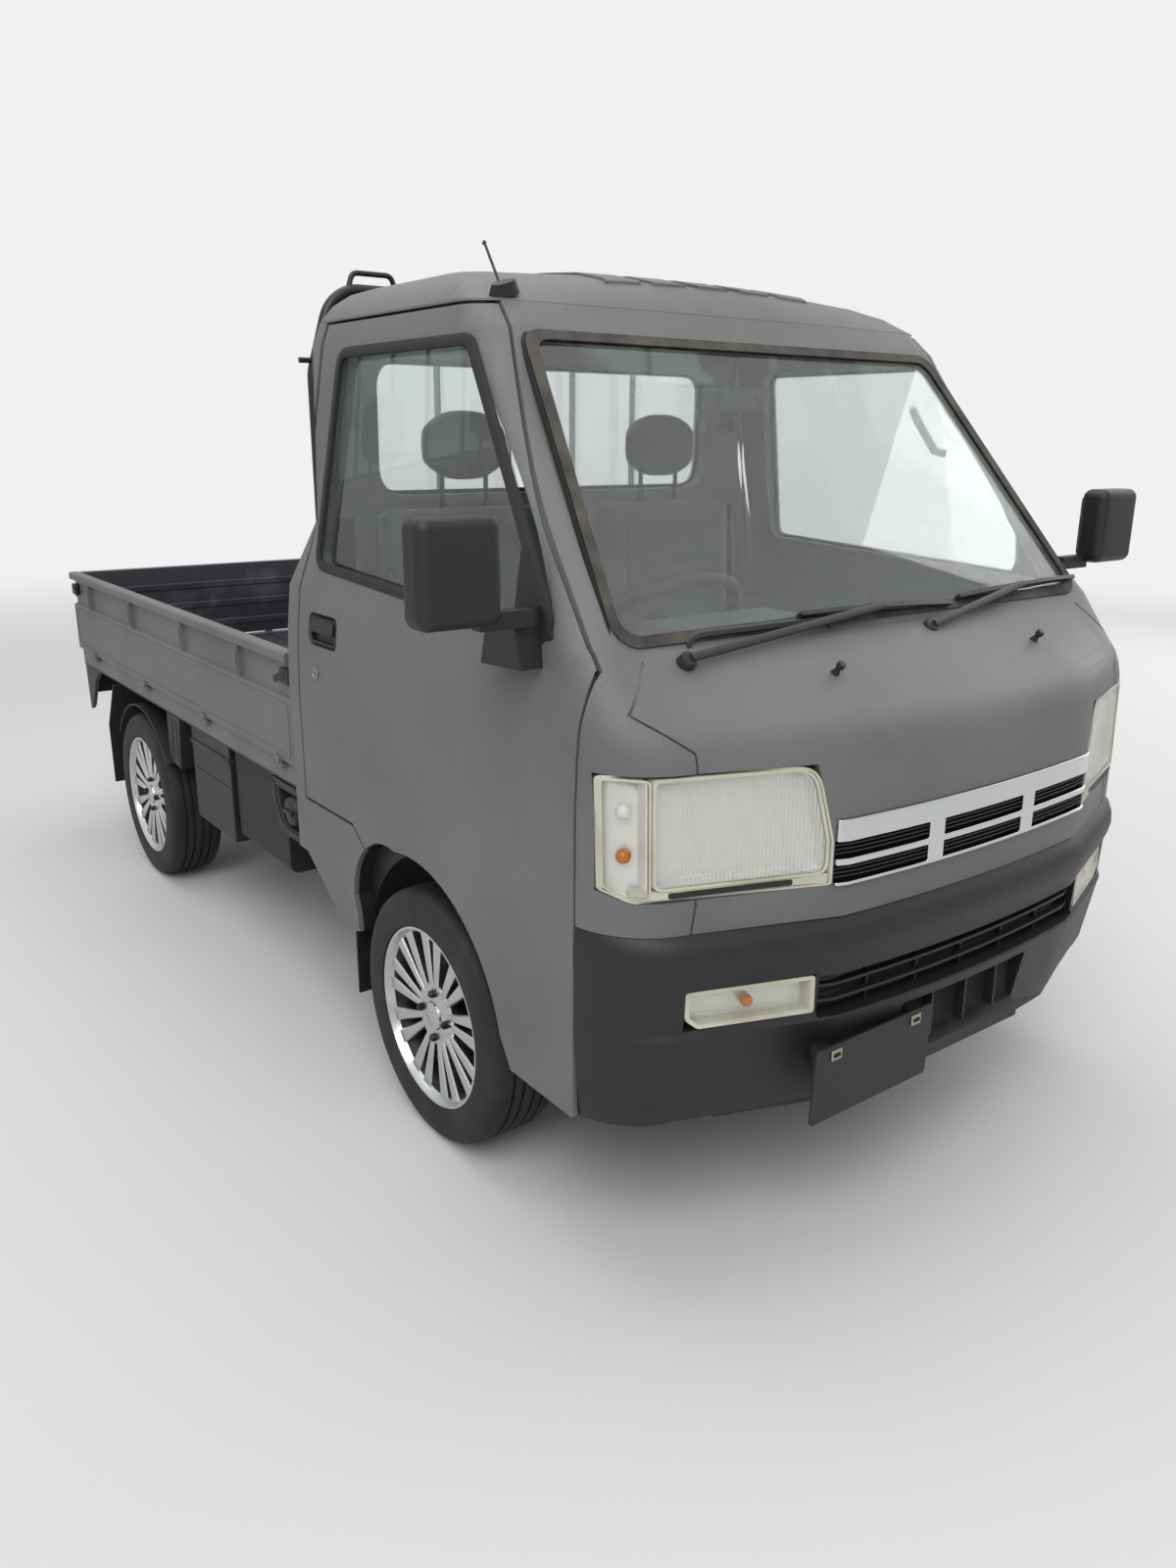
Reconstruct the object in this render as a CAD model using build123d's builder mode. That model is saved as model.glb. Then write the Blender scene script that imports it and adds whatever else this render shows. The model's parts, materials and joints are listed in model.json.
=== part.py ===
"""Kei truck with a drop-side bed: a full cab-over light truck, right-hand drive.

The front of the truck points to -Y, its right side to -X, and it stands on z = 0.
"""

from functools import cache
from math import atan2, degrees, hypot
import os

from build123d import *

os.makedirs("parts", exist_ok=True)

# Overall sizes of the class and of this truck
LENGTH = 3395.0
WIDTH = 1475.0
HEIGHT = 1780.0
WHEELBASE = 1900.0
FRONT_Y = -LENGTH / 2
REAR_Y = LENGTH / 2
HALF_WIDTH = WIDTH / 2
FRONT_AXLE_Y = -911.0
REAR_AXLE_Y = FRONT_AXLE_Y + WHEELBASE

# Wheels
TYRE_RADIUS = 272.5
WHEEL_X = 655.0
RIM_LIP_RADIUS = 193.0
SPOKE_PAIRS = 9

# Clearances
SEAM = 6.0
DOOR_BACK_GAP = 10.0
SEAT_GAP = 0.3
WALL = 40.0
BUMPER_WALL = 32.0

# Cab levels
BODY_BOTTOM = 300.0
BODY_SIDE_X = 734.0
WAIST_Z = 861.0
SCREEN_BASE_Z = 1102.0
SCREEN_TOP_Z = 1611.0
ROOF_Z = 1753.0
CAB_REAR_Y = -300.0
BUMPER_TOP_Z = 664.0
SCREEN_BASE_Y = -1425.0
SCREEN_TOP_Y = -1019.0
SCREEN_BASE_X = 653.0
SCREEN_TOP_X = 562.0

# Cab outline at each level, right half, front to rear:
# level, front at the centre line, end of the bow x and y, end of the slant x and y,
# start of the side x and y, rear corner x and y. The levels from 940 to 1006 round off
# the nose, and those above the windscreen round off the roof.
CAB_SECTIONS = (
    (BODY_BOTTOM, -1680, 345, -1662, 600, -1570, BODY_SIDE_X, -1410, BODY_SIDE_X, CAB_REAR_Y),
    (WAIST_Z, -1672, 345, -1654, 600, -1562, BODY_SIDE_X, -1405, BODY_SIDE_X, CAB_REAR_Y),
    (940, -1667, 345, -1649, 600, -1557, 731, -1403, 731, CAB_REAR_Y),
    (970, -1659, 345, -1641, 602, -1549, 729, -1400, 729, CAB_REAR_Y),
    (990, -1643, 345, -1626, 606, -1536, 728, -1396, 728, CAB_REAR_Y),
    (1006, -1616, 345, -1601, 612, -1517, 727, -1390, 727, CAB_REAR_Y),
    (SCREEN_BASE_Z, SCREEN_BASE_Y, 345, SCREEN_BASE_Y, SCREEN_BASE_X, SCREEN_BASE_Y,
     716, -1352, 716, CAB_REAR_Y),
    (SCREEN_TOP_Z, SCREEN_TOP_Y, 345, SCREEN_TOP_Y, SCREEN_TOP_X, SCREEN_TOP_Y,
     632, -946, 632, -312),
    (1662, -981, 345, -976, 548, -966, 613, -896, 613, -317),
    (1694, -950, 340, -938, 505, -908, 585, -838, 585, -322),
    (1719, -905, 320, -885, 465, -843, 545, -765, 545, -331),
    (1736, -830, 290, -803, 415, -748, 490, -668, 490, -346),
    (1747, -720, 250, -688, 355, -636, 425, -556, 425, -366),
    (ROOF_Z, -600, 200, -565, 280, -526, 340, -466, 340, -392),
)


@cache
def cab_form(inset=0.0, lower_inset=None, floor=None):
    """Solid inside the cab's outline, drawn in by inset on every side."""
    with BuildPart() as form:
        for (level, front_y, bow_x, bow_y, slant_x, slant_y,
             side_x, side_y, rear_x, rear_y) in CAB_SECTIONS:
            step = inset if lower_inset is None or level > BODY_BOTTOM else lower_inset
            z = level - inset if level == ROOF_Z else level
            z = floor if floor is not None and level == BODY_BOTTOM else z
            with BuildSketch(Plane.XY.offset(z)):
                with BuildLine():
                    right = []
                    for s in (1, -1):
                        bow = (s * bow_x, bow_y + step)
                        slant = (s * (slant_x - 0.5 * step), slant_y + 0.9 * step)
                        side = (s * (side_x - step), side_y + 0.4 * step)
                        rear = (s * (rear_x - step), rear_y - inset)
                        Line(bow, slant)
                        TangentArc(side, slant, tangent=(0, -1))
                        Line(side, rear)
                        right.append((bow, rear))
                    if front_y == bow_y:
                        Line(right[0][0], right[1][0])
                    else:
                        ThreePointArc(right[0][0], (0, front_y + step), right[1][0])
                    Line(right[0][1], right[1][1])
                make_face()
        loft(ruled=True)
    return form.part


def side_prism(points, x0, x1):
    """Solid between two lengthwise planes on an outline of (y, z) points."""
    with BuildPart() as prism:
        with BuildSketch(Plane.YZ.offset(x0)):
            with BuildLine():
                Polyline(*points, close=True)
            make_face()
        extrude(amount=x1 - x0)
    return prism.part


def front_prism(points, y0, y1, corner=0.0):
    """Solid between two crosswise planes on an outline of (x, z) points."""
    with BuildPart() as prism:
        with BuildSketch(Plane.XZ.offset(-y0)) as outline:
            with BuildLine():
                Polyline(*points, close=True)
            make_face()
            if corner:
                fillet(outline.vertices(), corner)
        extrude(amount=y0 - y1)
    return prism.part


def block(x0, x1, y0, y1, z0, z1):
    """Plain block between two corners."""
    with BuildPart() as solid:
        with Locations(((x0 + x1) / 2, (y0 + y1) / 2, (z0 + z1) / 2)):
            Box(abs(x1 - x0), abs(y1 - y0), abs(z1 - z0))
    return solid.part


def bar_x(radius, x0, x1, y, z):
    """Round bar along X."""
    with BuildPart() as bar:
        with BuildSketch(Plane.YZ.offset(x0)):
            with Locations((y, z)):
                Circle(radius)
        extrude(amount=x1 - x0)
    return bar.part


def bar_y(radius, y0, y1, x, z):
    """Round bar along Y."""
    with BuildPart() as bar:
        with BuildSketch(Plane.XZ.offset(-y0)):
            with Locations((x, z)):
                Circle(radius)
        extrude(amount=y0 - y1)
    return bar.part


def bar_z(radius, z0, z1, x, y):
    """Round bar along Z."""
    with BuildPart() as bar:
        with BuildSketch(Plane.XY.offset(z0)):
            with Locations((x, y)):
                Circle(radius)
        extrude(amount=z1 - z0)
    return bar.part


# Doors
SIDES = (("right", -1), ("left", 1))
DOOR_FRONT_Y = -1424.0
DOOR_REAR_Y = -360.0
DOOR_TOP_Z = 1652.0
DOOR_TOP_REAR_Y = -369.0
DOOR_STEP_Z = 612.0
DOOR_TOE_Z = 303.0
PILLAR_FOOT = (688.0, 1112.0)
PILLAR_HEAD = (578.0, 1615.0)
PILLAR_STEP = 34.0
DOOR_HEEL = ((-605.0, DOOR_STEP_Z), (-700.0, 540.0))
ARCH_REAR_EDGE = ((-616, 280), (-606, 400), (-592, 440), (-600, 485))
ARCH_REAR_TOP = ((-600, 485), (-662, 571), (-796, 603))
ARCH_FRONT = ((-796, 603), (-1050, 558), (-1194, 360))
ARCH_TOE = ((-1230, 303), (-1236, 280))
WELL_RADIUS = 335.0
WELL_INNER_X = 415.0
WINDOW_OUTLINE = ((-440, 1157), (-455, 1590), (-974, 1590), (-1346, 1113))
WINDOW_CORNER = 34.0
GLASS = 5.0
GLASS_INSET = 12.0
HANDLE_POCKET = ((-411, 981), (-411, 1053), (-555, 1053), (-555, 981))
HANDLE_POCKET_DEPTH = 16.0
HANDLE_POCKET_CORNER = 20.0

# Cab floor and back
ROOF_SEAM_Z = 1660.0
FLOOR_Z = 640.0
UNDERFLOOR_Z = 600.0
FOOTWELL_Z = 385.0
FOOTWELL_BOTTOM_Z = 345.0
FOOTWELL_FRONT_Y = -1560.0
FOOTWELL_REAR_Y = -1276.0
WELL_FRONT_Y = FRONT_AXLE_Y - WELL_RADIUS
TUNNEL_X = 375.0
SKIRT_EDGE = ((-640, 250), (-640, 358), (-616, 358), (-533, 345), (-345, 473), (-200, 473), (-200, 250))
BACK_OUTLINE = ((-640, 655), (-640, 1090), (-556, 1640), (556, 1640), (640, 1090), (640, 655))
REAR_WINDOW_X = 500.0
REAR_WINDOW_Z = (1292.0, 1592.0)
REAR_WINDOW_CORNER = 62.0
FAR = 1750.0
CAB_MIDDLE_Y = -450.0
NOSE_BACK_Y = -1500.0
INNER_SIDE_X = BODY_SIDE_X - WALL - 4


def pillar_x(z):
    """Half-width of the line between windscreen pillar and door at a height."""
    share = (z - PILLAR_FOOT[1]) / (PILLAR_HEAD[1] - PILLAR_FOOT[1])
    return PILLAR_FOOT[0] + share * (PILLAR_HEAD[0] - PILLAR_FOOT[0])


def arch_zone(x0, x1):
    """Front wheel opening in the body side, squarer at its rear top than the wheel is round."""
    with BuildPart() as zone:
        with BuildSketch(Plane.YZ.offset(x0)):
            with BuildLine():
                Polyline(*ARCH_REAR_EDGE)
                ThreePointArc(*ARCH_REAR_TOP)
                ThreePointArc(*ARCH_FRONT)
                Polyline(ARCH_FRONT[-1], *ARCH_TOE, ARCH_REAR_EDGE[0])
            make_face()
        extrude(amount=x1 - x0)
    return zone.part


def door_zone(s, gap):
    """Everything that belongs to the door of side s, grown by gap at each edge."""
    rear_y = DOOR_REAR_Y + gap
    outline = (
        (rear_y, DOOR_STEP_Z - gap),
        (rear_y, SCREEN_BASE_Z),
        (DOOR_TOP_REAR_Y if gap == 0 else rear_y, DOOR_TOP_Z + gap),
        (DOOR_FRONT_Y - gap, DOOR_TOP_Z + gap),
        (DOOR_FRONT_Y - gap, DOOR_TOE_Z - gap),
        (FRONT_AXLE_Y, DOOR_TOE_Z - gap),
        (DOOR_HEEL[1][0] + gap, DOOR_HEEL[1][1] - gap),
        (DOOR_HEEL[0][0] + gap / 3, DOOR_STEP_Z - gap),
    )
    inner_x = INNER_SIDE_X - (DOOR_BACK_GAP if gap else 0)
    low = DOOR_TOE_Z - gap - 1
    high = DOOR_TOP_Z + gap + 1
    inner = (
        (0, low),
        (s * inner_x, low),
        (s * inner_x, PILLAR_FOOT[1] - PILLAR_STEP),
        (s * (PILLAR_FOOT[0] - gap), PILLAR_FOOT[1] - PILLAR_STEP),
        (s * (PILLAR_FOOT[0] - gap), PILLAR_FOOT[1]),
        (s * (pillar_x(high) - gap), high),
        (0, high),
    )
    with BuildPart() as zone:
        add(side_prism(outline, 0, s * FAR))
        add(front_prism(inner, -FAR, 0), mode=Mode.SUBTRACT)
        add(arch_zone(0, s * FAR), mode=Mode.SUBTRACT)
    return zone.part


# The windscreen lies in one sloping plane
SCREEN_RISE = SCREEN_TOP_Z - SCREEN_BASE_Z
SCREEN_RUN = SCREEN_TOP_Y - SCREEN_BASE_Y
SCREEN_LENGTH = hypot(SCREEN_RISE, SCREEN_RUN)
SCREEN_PLANE = Plane(
    origin=(0, SCREEN_BASE_Y, SCREEN_BASE_Z),
    x_dir=(1, 0, 0),
    z_dir=(0, -SCREEN_RISE / SCREEN_LENGTH, SCREEN_RUN / SCREEN_LENGTH),
)
SEAL_EDGE = 4.0
SEAL_WIDTH = 26.0
SEAL_LIP = 4.0
SEAL_CORNER = 46.0
SEAL_SEAT = 8.0
SCREEN_GLASS_EDGE = 16.0
SCREEN_CORNER = 40.0


def screen_slab(edge, z0, z1, corner=SEAL_CORNER):
    """Windscreen outline drawn in by edge, between two depths from its plane."""
    base = SCREEN_BASE_X - edge
    top = SCREEN_TOP_X - edge
    with BuildPart() as slab:
        with BuildSketch(SCREEN_PLANE.offset(z0)) as outline:
            with BuildLine():
                Polyline((-base, edge), (base, edge), (top, SCREEN_LENGTH - edge),
                         (-top, SCREEN_LENGTH - edge), close=True)
            make_face()
            fillet(outline.vertices(), corner)
        extrude(amount=z1 - z0)
    return slab.part


# Cab shell, then its panels
cab_outer = cab_form()

with BuildPart() as cab_shell:
    add(cab_outer)
    with BuildPart(mode=Mode.PRIVATE) as cabin:
        add(cab_form(WALL, floor=FOOTWELL_Z))
        add(block(-FAR, FAR, FOOTWELL_REAR_Y, 0, 0, FLOOR_Z), mode=Mode.SUBTRACT)
        add(block(-FAR, FAR, -FAR, FOOTWELL_FRONT_Y, 0, BUMPER_TOP_Z), mode=Mode.SUBTRACT)
    add(cabin.part, mode=Mode.SUBTRACT)

roof_zone = block(-FAR, FAR, -FAR, FAR, ROOF_SEAM_Z, HEIGHT + 10)
nose_zone = block(-FAR, FAR, -FAR, DOOR_FRONT_Y - SEAM, 0, SCREEN_BASE_Z - 4)
back_zone = front_prism(BACK_OUTLINE, CAB_REAR_Y - WALL - 60, 0)

# Roof panel with its lengthwise ribs
ROOF_RIBS = 7
ROOF_RIB_PITCH = 118.0
ROOF_RIB_WIDTH = 86.0
ROOF_RIB_HEIGHT = 6.0
ROOF_RIB_Y = (-905.0, -392.0)
with BuildPart() as roof_panel:
    add(cab_shell.part)
    add(roof_zone, mode=Mode.INTERSECT)
    with BuildPart(mode=Mode.PRIVATE) as ribs:
        add(Pos(0, 0, ROOF_RIB_HEIGHT) * cab_outer)
        with BuildPart(mode=Mode.PRIVATE) as rib_bars:
            for i in range(ROOF_RIBS):
                x = (i - (ROOF_RIBS - 1) / 2) * ROOF_RIB_PITCH
                add(block(x - ROOF_RIB_WIDTH / 2, x + ROOF_RIB_WIDTH / 2, *ROOF_RIB_Y,
                          ROOF_Z - WALL, HEIGHT))
        add(rib_bars.part, mode=Mode.INTERSECT)
    add(ribs.part)
roof_panel.part.label = "roof_panel"
export_step(roof_panel.part, "parts/roof_panel.step")

# Lamps and grille in the nose
LAMP_OUTLINE = ((368, 722), (368, 800), (398, 930), (722, 930), (722, 738), (690, 722))
LAMP_DEPTH = 60.0
GRILLE_Z = (720.0, 836.0)
GRILLE_PROUD = 7.0
GRILLE_DEPTH = 22.0
GRILLE_SLOTS = ((-263, 216), (0, 230), (263, 216))
GRILLE_SLOT_Z = ((768, 797), (727, 756))
LAMP_GAP_X = 366.0


def mirrored(points, s):
    """Outline of (x, z) points on side s."""
    return tuple((s * x, z) for x, z in points)


LAMP_REAR_Y = DOOR_FRONT_Y - SEAM - 8
lamp_zones = [front_prism(mirrored(LAMP_OUTLINE, s), -FAR, LAMP_REAR_Y) for name, s in SIDES]
grille_zone = block(-LAMP_GAP_X, LAMP_GAP_X, -FAR, NOSE_BACK_Y, *GRILLE_Z)

with BuildPart() as lamp_space:
    add(cab_outer)
    add(cab_form(LAMP_DEPTH / 2), mode=Mode.SUBTRACT)

# The seams between the hood and the corner panels are cut as grooves
GROOVE_WIDTH = 4.0
GROOVE_DEPTH = 6.0
CORNER_SEAM = ((604, 640), (594, 712), (594, 960), (672, 1018), (604, 1092), (602, 1120))
with BuildPart() as seam_grooves:
    for s in (-1, 1):
        with BuildSketch(Plane.XZ.offset(-LAMP_REAR_Y)) as seam_line:
            with BuildLine():
                Polyline(*mirrored(CORNER_SEAM, s))
            trace(line_width=GROOVE_WIDTH)
        extrude(amount=FAR)
    with BuildPart(mode=Mode.PRIVATE) as groove_layer:
        add(cab_outer)
        add(cab_form(GROOVE_DEPTH), mode=Mode.SUBTRACT)
    add(groove_layer.part, mode=Mode.INTERSECT)

with BuildPart() as nose_panel:
    add(cab_shell.part)
    add(nose_zone, mode=Mode.INTERSECT)
    with BuildPart(mode=Mode.PRIVATE) as bumper_space:
        add(block(-FAR, FAR, -FAR, 0, 0, BUMPER_TOP_Z))
        add(cab_form(BUMPER_WALL + SEAT_GAP), mode=Mode.SUBTRACT)
    add(bumper_space.part, mode=Mode.SUBTRACT)
    add(block(-FAR, FAR, FOOTWELL_FRONT_Y, 0, 0, FOOTWELL_BOTTOM_Z), mode=Mode.SUBTRACT)
    for zone in lamp_zones:
        with BuildPart(mode=Mode.PRIVATE) as lamp_pocket:
            add(zone)
            add(lamp_space.part, mode=Mode.INTERSECT)
        add(lamp_pocket.part, mode=Mode.SUBTRACT)
    with BuildPart(mode=Mode.PRIVATE) as grille_pocket:
        add(grille_zone)
        add(lamp_space.part, mode=Mode.INTERSECT)
    add(grille_pocket.part, mode=Mode.SUBTRACT)
    add(seam_grooves.part, mode=Mode.SUBTRACT)
nose_panel.part.label = "nose_panel"
export_step(nose_panel.part, "parts/nose_panel.step")

with BuildPart() as headlamps:
    add(cab_outer)
    add(cab_form(LAMP_DEPTH / 2 - SEAT_GAP), mode=Mode.SUBTRACT)
    with BuildPart(mode=Mode.PRIVATE) as both_lamps:
        for name, s in SIDES:
            with BuildSketch(Plane.XZ.offset(-LAMP_REAR_Y + SEAT_GAP)) as lamp_outline:
                with BuildLine():
                    Polyline(*mirrored(LAMP_OUTLINE, s), close=True)
                make_face()
                offset(amount=-SEAT_GAP, kind=Kind.INTERSECTION)
            extrude(amount=FAR)
    add(both_lamps.part, mode=Mode.INTERSECT)
headlamps.part.label = "headlamps"
export_step(headlamps.part, "parts/headlamps.step")

with BuildPart() as grille:
    add(cab_form(-GRILLE_PROUD))
    add(cab_form(GRILLE_DEPTH), mode=Mode.SUBTRACT)
    add(block(-LAMP_GAP_X + SEAT_GAP, LAMP_GAP_X - SEAT_GAP, -FAR, NOSE_BACK_Y,
              GRILLE_Z[0] + SEAT_GAP, GRILLE_Z[1] - SEAT_GAP), mode=Mode.INTERSECT)
    for x, width in GRILLE_SLOTS:
        for low, high in GRILLE_SLOT_Z:
            add(block(x - width / 2, x + width / 2, -FAR, NOSE_BACK_Y, low, high),
                mode=Mode.SUBTRACT)
grille.part.label = "grille"
export_step(grille.part, "parts/grille.step")

# Rear wall of the cab with its window
back_window_points = (
    (-REAR_WINDOW_X, REAR_WINDOW_Z[0]),
    (REAR_WINDOW_X, REAR_WINDOW_Z[0]),
    (REAR_WINDOW_X, REAR_WINDOW_Z[1]),
    (-REAR_WINDOW_X, REAR_WINDOW_Z[1]),
)
with BuildPart() as cab_back_panel:
    add(cab_shell.part)
    add(back_zone, mode=Mode.INTERSECT)
    add(front_prism(back_window_points, CAB_MIDDLE_Y, 0, REAR_WINDOW_CORNER), mode=Mode.SUBTRACT)
cab_back_panel.part.label = "cab_back_panel"
export_step(cab_back_panel.part, "parts/cab_back_panel.step")

with BuildPart() as rear_window:
    add(cab_form(GLASS_INSET))
    add(cab_form(GLASS_INSET + GLASS), mode=Mode.SUBTRACT)
    with BuildPart(mode=Mode.PRIVATE) as pane:
        with BuildSketch(Plane.XZ) as pane_outline:
            with Locations((0, sum(REAR_WINDOW_Z) / 2)):
                RectangleRounded(2 * (REAR_WINDOW_X - SEAT_GAP),
                                 REAR_WINDOW_Z[1] - REAR_WINDOW_Z[0] - 2 * SEAT_GAP,
                                 REAR_WINDOW_CORNER)
        extrude(amount=-CAB_MIDDLE_Y)
    add(pane.part, mode=Mode.INTERSECT)
rear_window.part.label = "rear_window"
export_step(rear_window.part, "parts/rear_window.step")

# Cab body: floor, sills, pillars and header
with BuildPart() as cab_body:
    add(cab_shell.part)
    add(roof_zone, mode=Mode.SUBTRACT)
    add(nose_zone, mode=Mode.SUBTRACT)
    add(back_zone, mode=Mode.SUBTRACT)
    for name, s in SIDES:
        add(door_zone(s, SEAM), mode=Mode.SUBTRACT)
        add(bar_x(WELL_RADIUS, s * WELL_INNER_X, s * INNER_SIDE_X, FRONT_AXLE_Y, TYRE_RADIUS),
            mode=Mode.SUBTRACT)
        add(arch_zone(s * INNER_SIDE_X, s * FAR), mode=Mode.SUBTRACT)
        add(side_prism(SKIRT_EDGE, 0, s * FAR), mode=Mode.SUBTRACT)
    add(block(-FAR, FAR, FOOTWELL_FRONT_Y, WELL_FRONT_Y, 0, FOOTWELL_BOTTOM_Z), mode=Mode.SUBTRACT)
    add(block(-TUNNEL_X, TUNNEL_X, WELL_FRONT_Y, 0, 0, UNDERFLOOR_Z), mode=Mode.SUBTRACT)
    add(block(-INNER_SIDE_X, INNER_SIDE_X, FRONT_AXLE_Y + WELL_RADIUS - 20, 0, 0, UNDERFLOOR_Z),
        mode=Mode.SUBTRACT)
    add(screen_slab(SEAL_SEAT, -2 * WALL, WALL), mode=Mode.SUBTRACT)
cab_body.part.label = "cab_body"
export_step(cab_body.part, "parts/cab_body.step")

with BuildPart() as windscreen_seal:
    add(screen_slab(SEAL_EDGE, SEAT_GAP, SEAL_LIP))
    add(screen_slab(SEAL_SEAT + SEAT_GAP, -GLASS_INSET, SEAT_GAP))
    add(screen_slab(SEAL_WIDTH, -WALL, WALL, SEAL_CORNER - 12), mode=Mode.SUBTRACT)
    add(screen_slab(SCREEN_GLASS_EDGE - SEAT_GAP, -GLASS - SEAT_GAP, SEAT_GAP, SCREEN_CORNER),
        mode=Mode.SUBTRACT)
windscreen_seal.part.label = "windscreen_seal"
export_step(windscreen_seal.part, "parts/windscreen_seal.step")

with BuildPart() as windscreen:
    add(screen_slab(SCREEN_GLASS_EDGE, -GLASS, 0, SCREEN_CORNER))
windscreen.part.label = "windscreen"
export_step(windscreen.part, "parts/windscreen.step")

# Doors with their glass and mirrors
with BuildPart() as pocket_layer:
    add(cab_outer)
    add(cab_form(HANDLE_POCKET_DEPTH), mode=Mode.SUBTRACT)

for name, s in SIDES:
    with BuildPart() as door:
        add(cab_shell.part)
        add(door_zone(s, 0), mode=Mode.INTERSECT)
        with BuildPart(mode=Mode.PRIVATE) as window:
            with BuildSketch(Plane.YZ) as window_outline:
                with BuildLine():
                    Polyline(*WINDOW_OUTLINE, close=True)
                make_face()
                fillet(window_outline.vertices(), WINDOW_CORNER)
            extrude(amount=s * FAR)
        add(window.part, mode=Mode.SUBTRACT)
        with BuildPart(mode=Mode.PRIVATE) as handle_pocket:
            with BuildSketch(Plane.YZ.offset(s * BODY_SIDE_X)) as pocket_outline:
                with BuildLine():
                    Polyline(*HANDLE_POCKET, close=True)
                make_face()
                fillet(pocket_outline.vertices(), HANDLE_POCKET_CORNER)
            extrude(amount=-s * 2 * WALL)
            add(pocket_layer.part, mode=Mode.INTERSECT)
        add(handle_pocket.part, mode=Mode.SUBTRACT)
    door.part.label = f"door_{name}"
    export_step(door.part, f"parts/door_{name}.step")

    with BuildPart() as door_glass:
        add(cab_form(GLASS_INSET))
        add(cab_form(GLASS_INSET + GLASS), mode=Mode.SUBTRACT)
        with BuildPart(mode=Mode.PRIVATE) as pane:
            with BuildSketch(Plane.YZ.offset(s * WELL_INNER_X)) as pane_outline:
                with BuildLine():
                    Polyline(*WINDOW_OUTLINE, close=True)
                make_face()
                fillet(pane_outline.vertices(), WINDOW_CORNER)
                offset(amount=-SEAT_GAP)
            extrude(amount=s * (BODY_SIDE_X - WELL_INNER_X))
        add(pane.part, mode=Mode.INTERSECT)
    door_glass.part.label = f"door_glass_{name}"
    export_step(door_glass.part, f"parts/door_glass_{name}.step")

# Door mirrors
MIRROR_HEAD = (815.0, 958.0, -1362.0, -1296.0, 1152.0, 1318.0)
MIRROR_CORNER = 20.0
MIRROR_FOOT = ((-1322, 1072), (-1200, 1066), (-1222, 1150), (-1296, 1168))
MIRROR_FOOT_X = (700.0, 762.0)
MIRROR_ARM_Y = (-1322.0, -1296.0)
MIRROR_ARM_Z = (1140.0, 1168.0)
for name, s in SIDES:
    with BuildPart() as mirror:
        add(block(s * MIRROR_HEAD[0], s * MIRROR_HEAD[1], *MIRROR_HEAD[2:]))
        fillet(mirror.edges(), MIRROR_CORNER)
        add(block(s * (BODY_SIDE_X + 1), s * (MIRROR_HEAD[0] + MIRROR_CORNER), *MIRROR_ARM_Y,
                  *MIRROR_ARM_Z))
        with BuildPart(mode=Mode.PRIVATE) as foot:
            add(side_prism(MIRROR_FOOT, s * MIRROR_FOOT_X[0], s * MIRROR_FOOT_X[1]))
            add(cab_form(-SEAT_GAP), mode=Mode.SUBTRACT)
        add(foot.part)
    mirror.part.label = f"mirror_{name}"
    export_step(mirror.part, f"parts/mirror_{name}.step")

# Front bumper: level, nose of the bumper, half-width, start of the side
BUMPER_SECTIONS = (
    (306, -1648, 724, -1390),
    (330, -1658, 729, -1394),
    (470, -1684, 735, -1404),
    (480, -1687, 736, -1406),
    (492, -1680, 734.5, -1404),
    (572, -1684, 735, -1405),
    (592, -1692, 736.5, -1408),
    (614, FRONT_Y, HALF_WIDTH, -1410),
    (636, -1695, 737, -1409),
    (653, -1686, 735.5, -1406),
    (BUMPER_TOP_Z, -1672, 733, -1400),
)
BUMPER_BOW = (345.0, 20.0)
BUMPER_SLANT = (600.0, 108.0)
BUMPER_REAR_Y = -1300.0
BUMPER_LAMP_X = (389.0, 614.0)
BUMPER_LAMP_Z = (494.0, 566.0)
BUMPER_LAMP_INSET = (-2.0, 28.0)
BUMPER_SLOT_Z = (484.0, 560.0)
BUMPER_MOUTH_X = 185.0
BUMPER_MOUTH_Z = (348.0, 462.0)
BUMPER_BAR_Z = (508.0, 536.0)
BUMPER_BAR_INSET = (8.0, 22.0)
BUMPER_POST_X = (-255.0, -128.0, 0.0, 128.0, 255.0)
BUMPER_LIFT = ((-350, 290), (-350, 300), (-235, 334), (235, 334), (350, 300), (350, 290))
SCOOP_RAMP = ((-1674, 322), (-1674, 348), (-1600, 384), (-1600, 374), (-1664, 322))
BUMPER_RIB = 6.0
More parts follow.
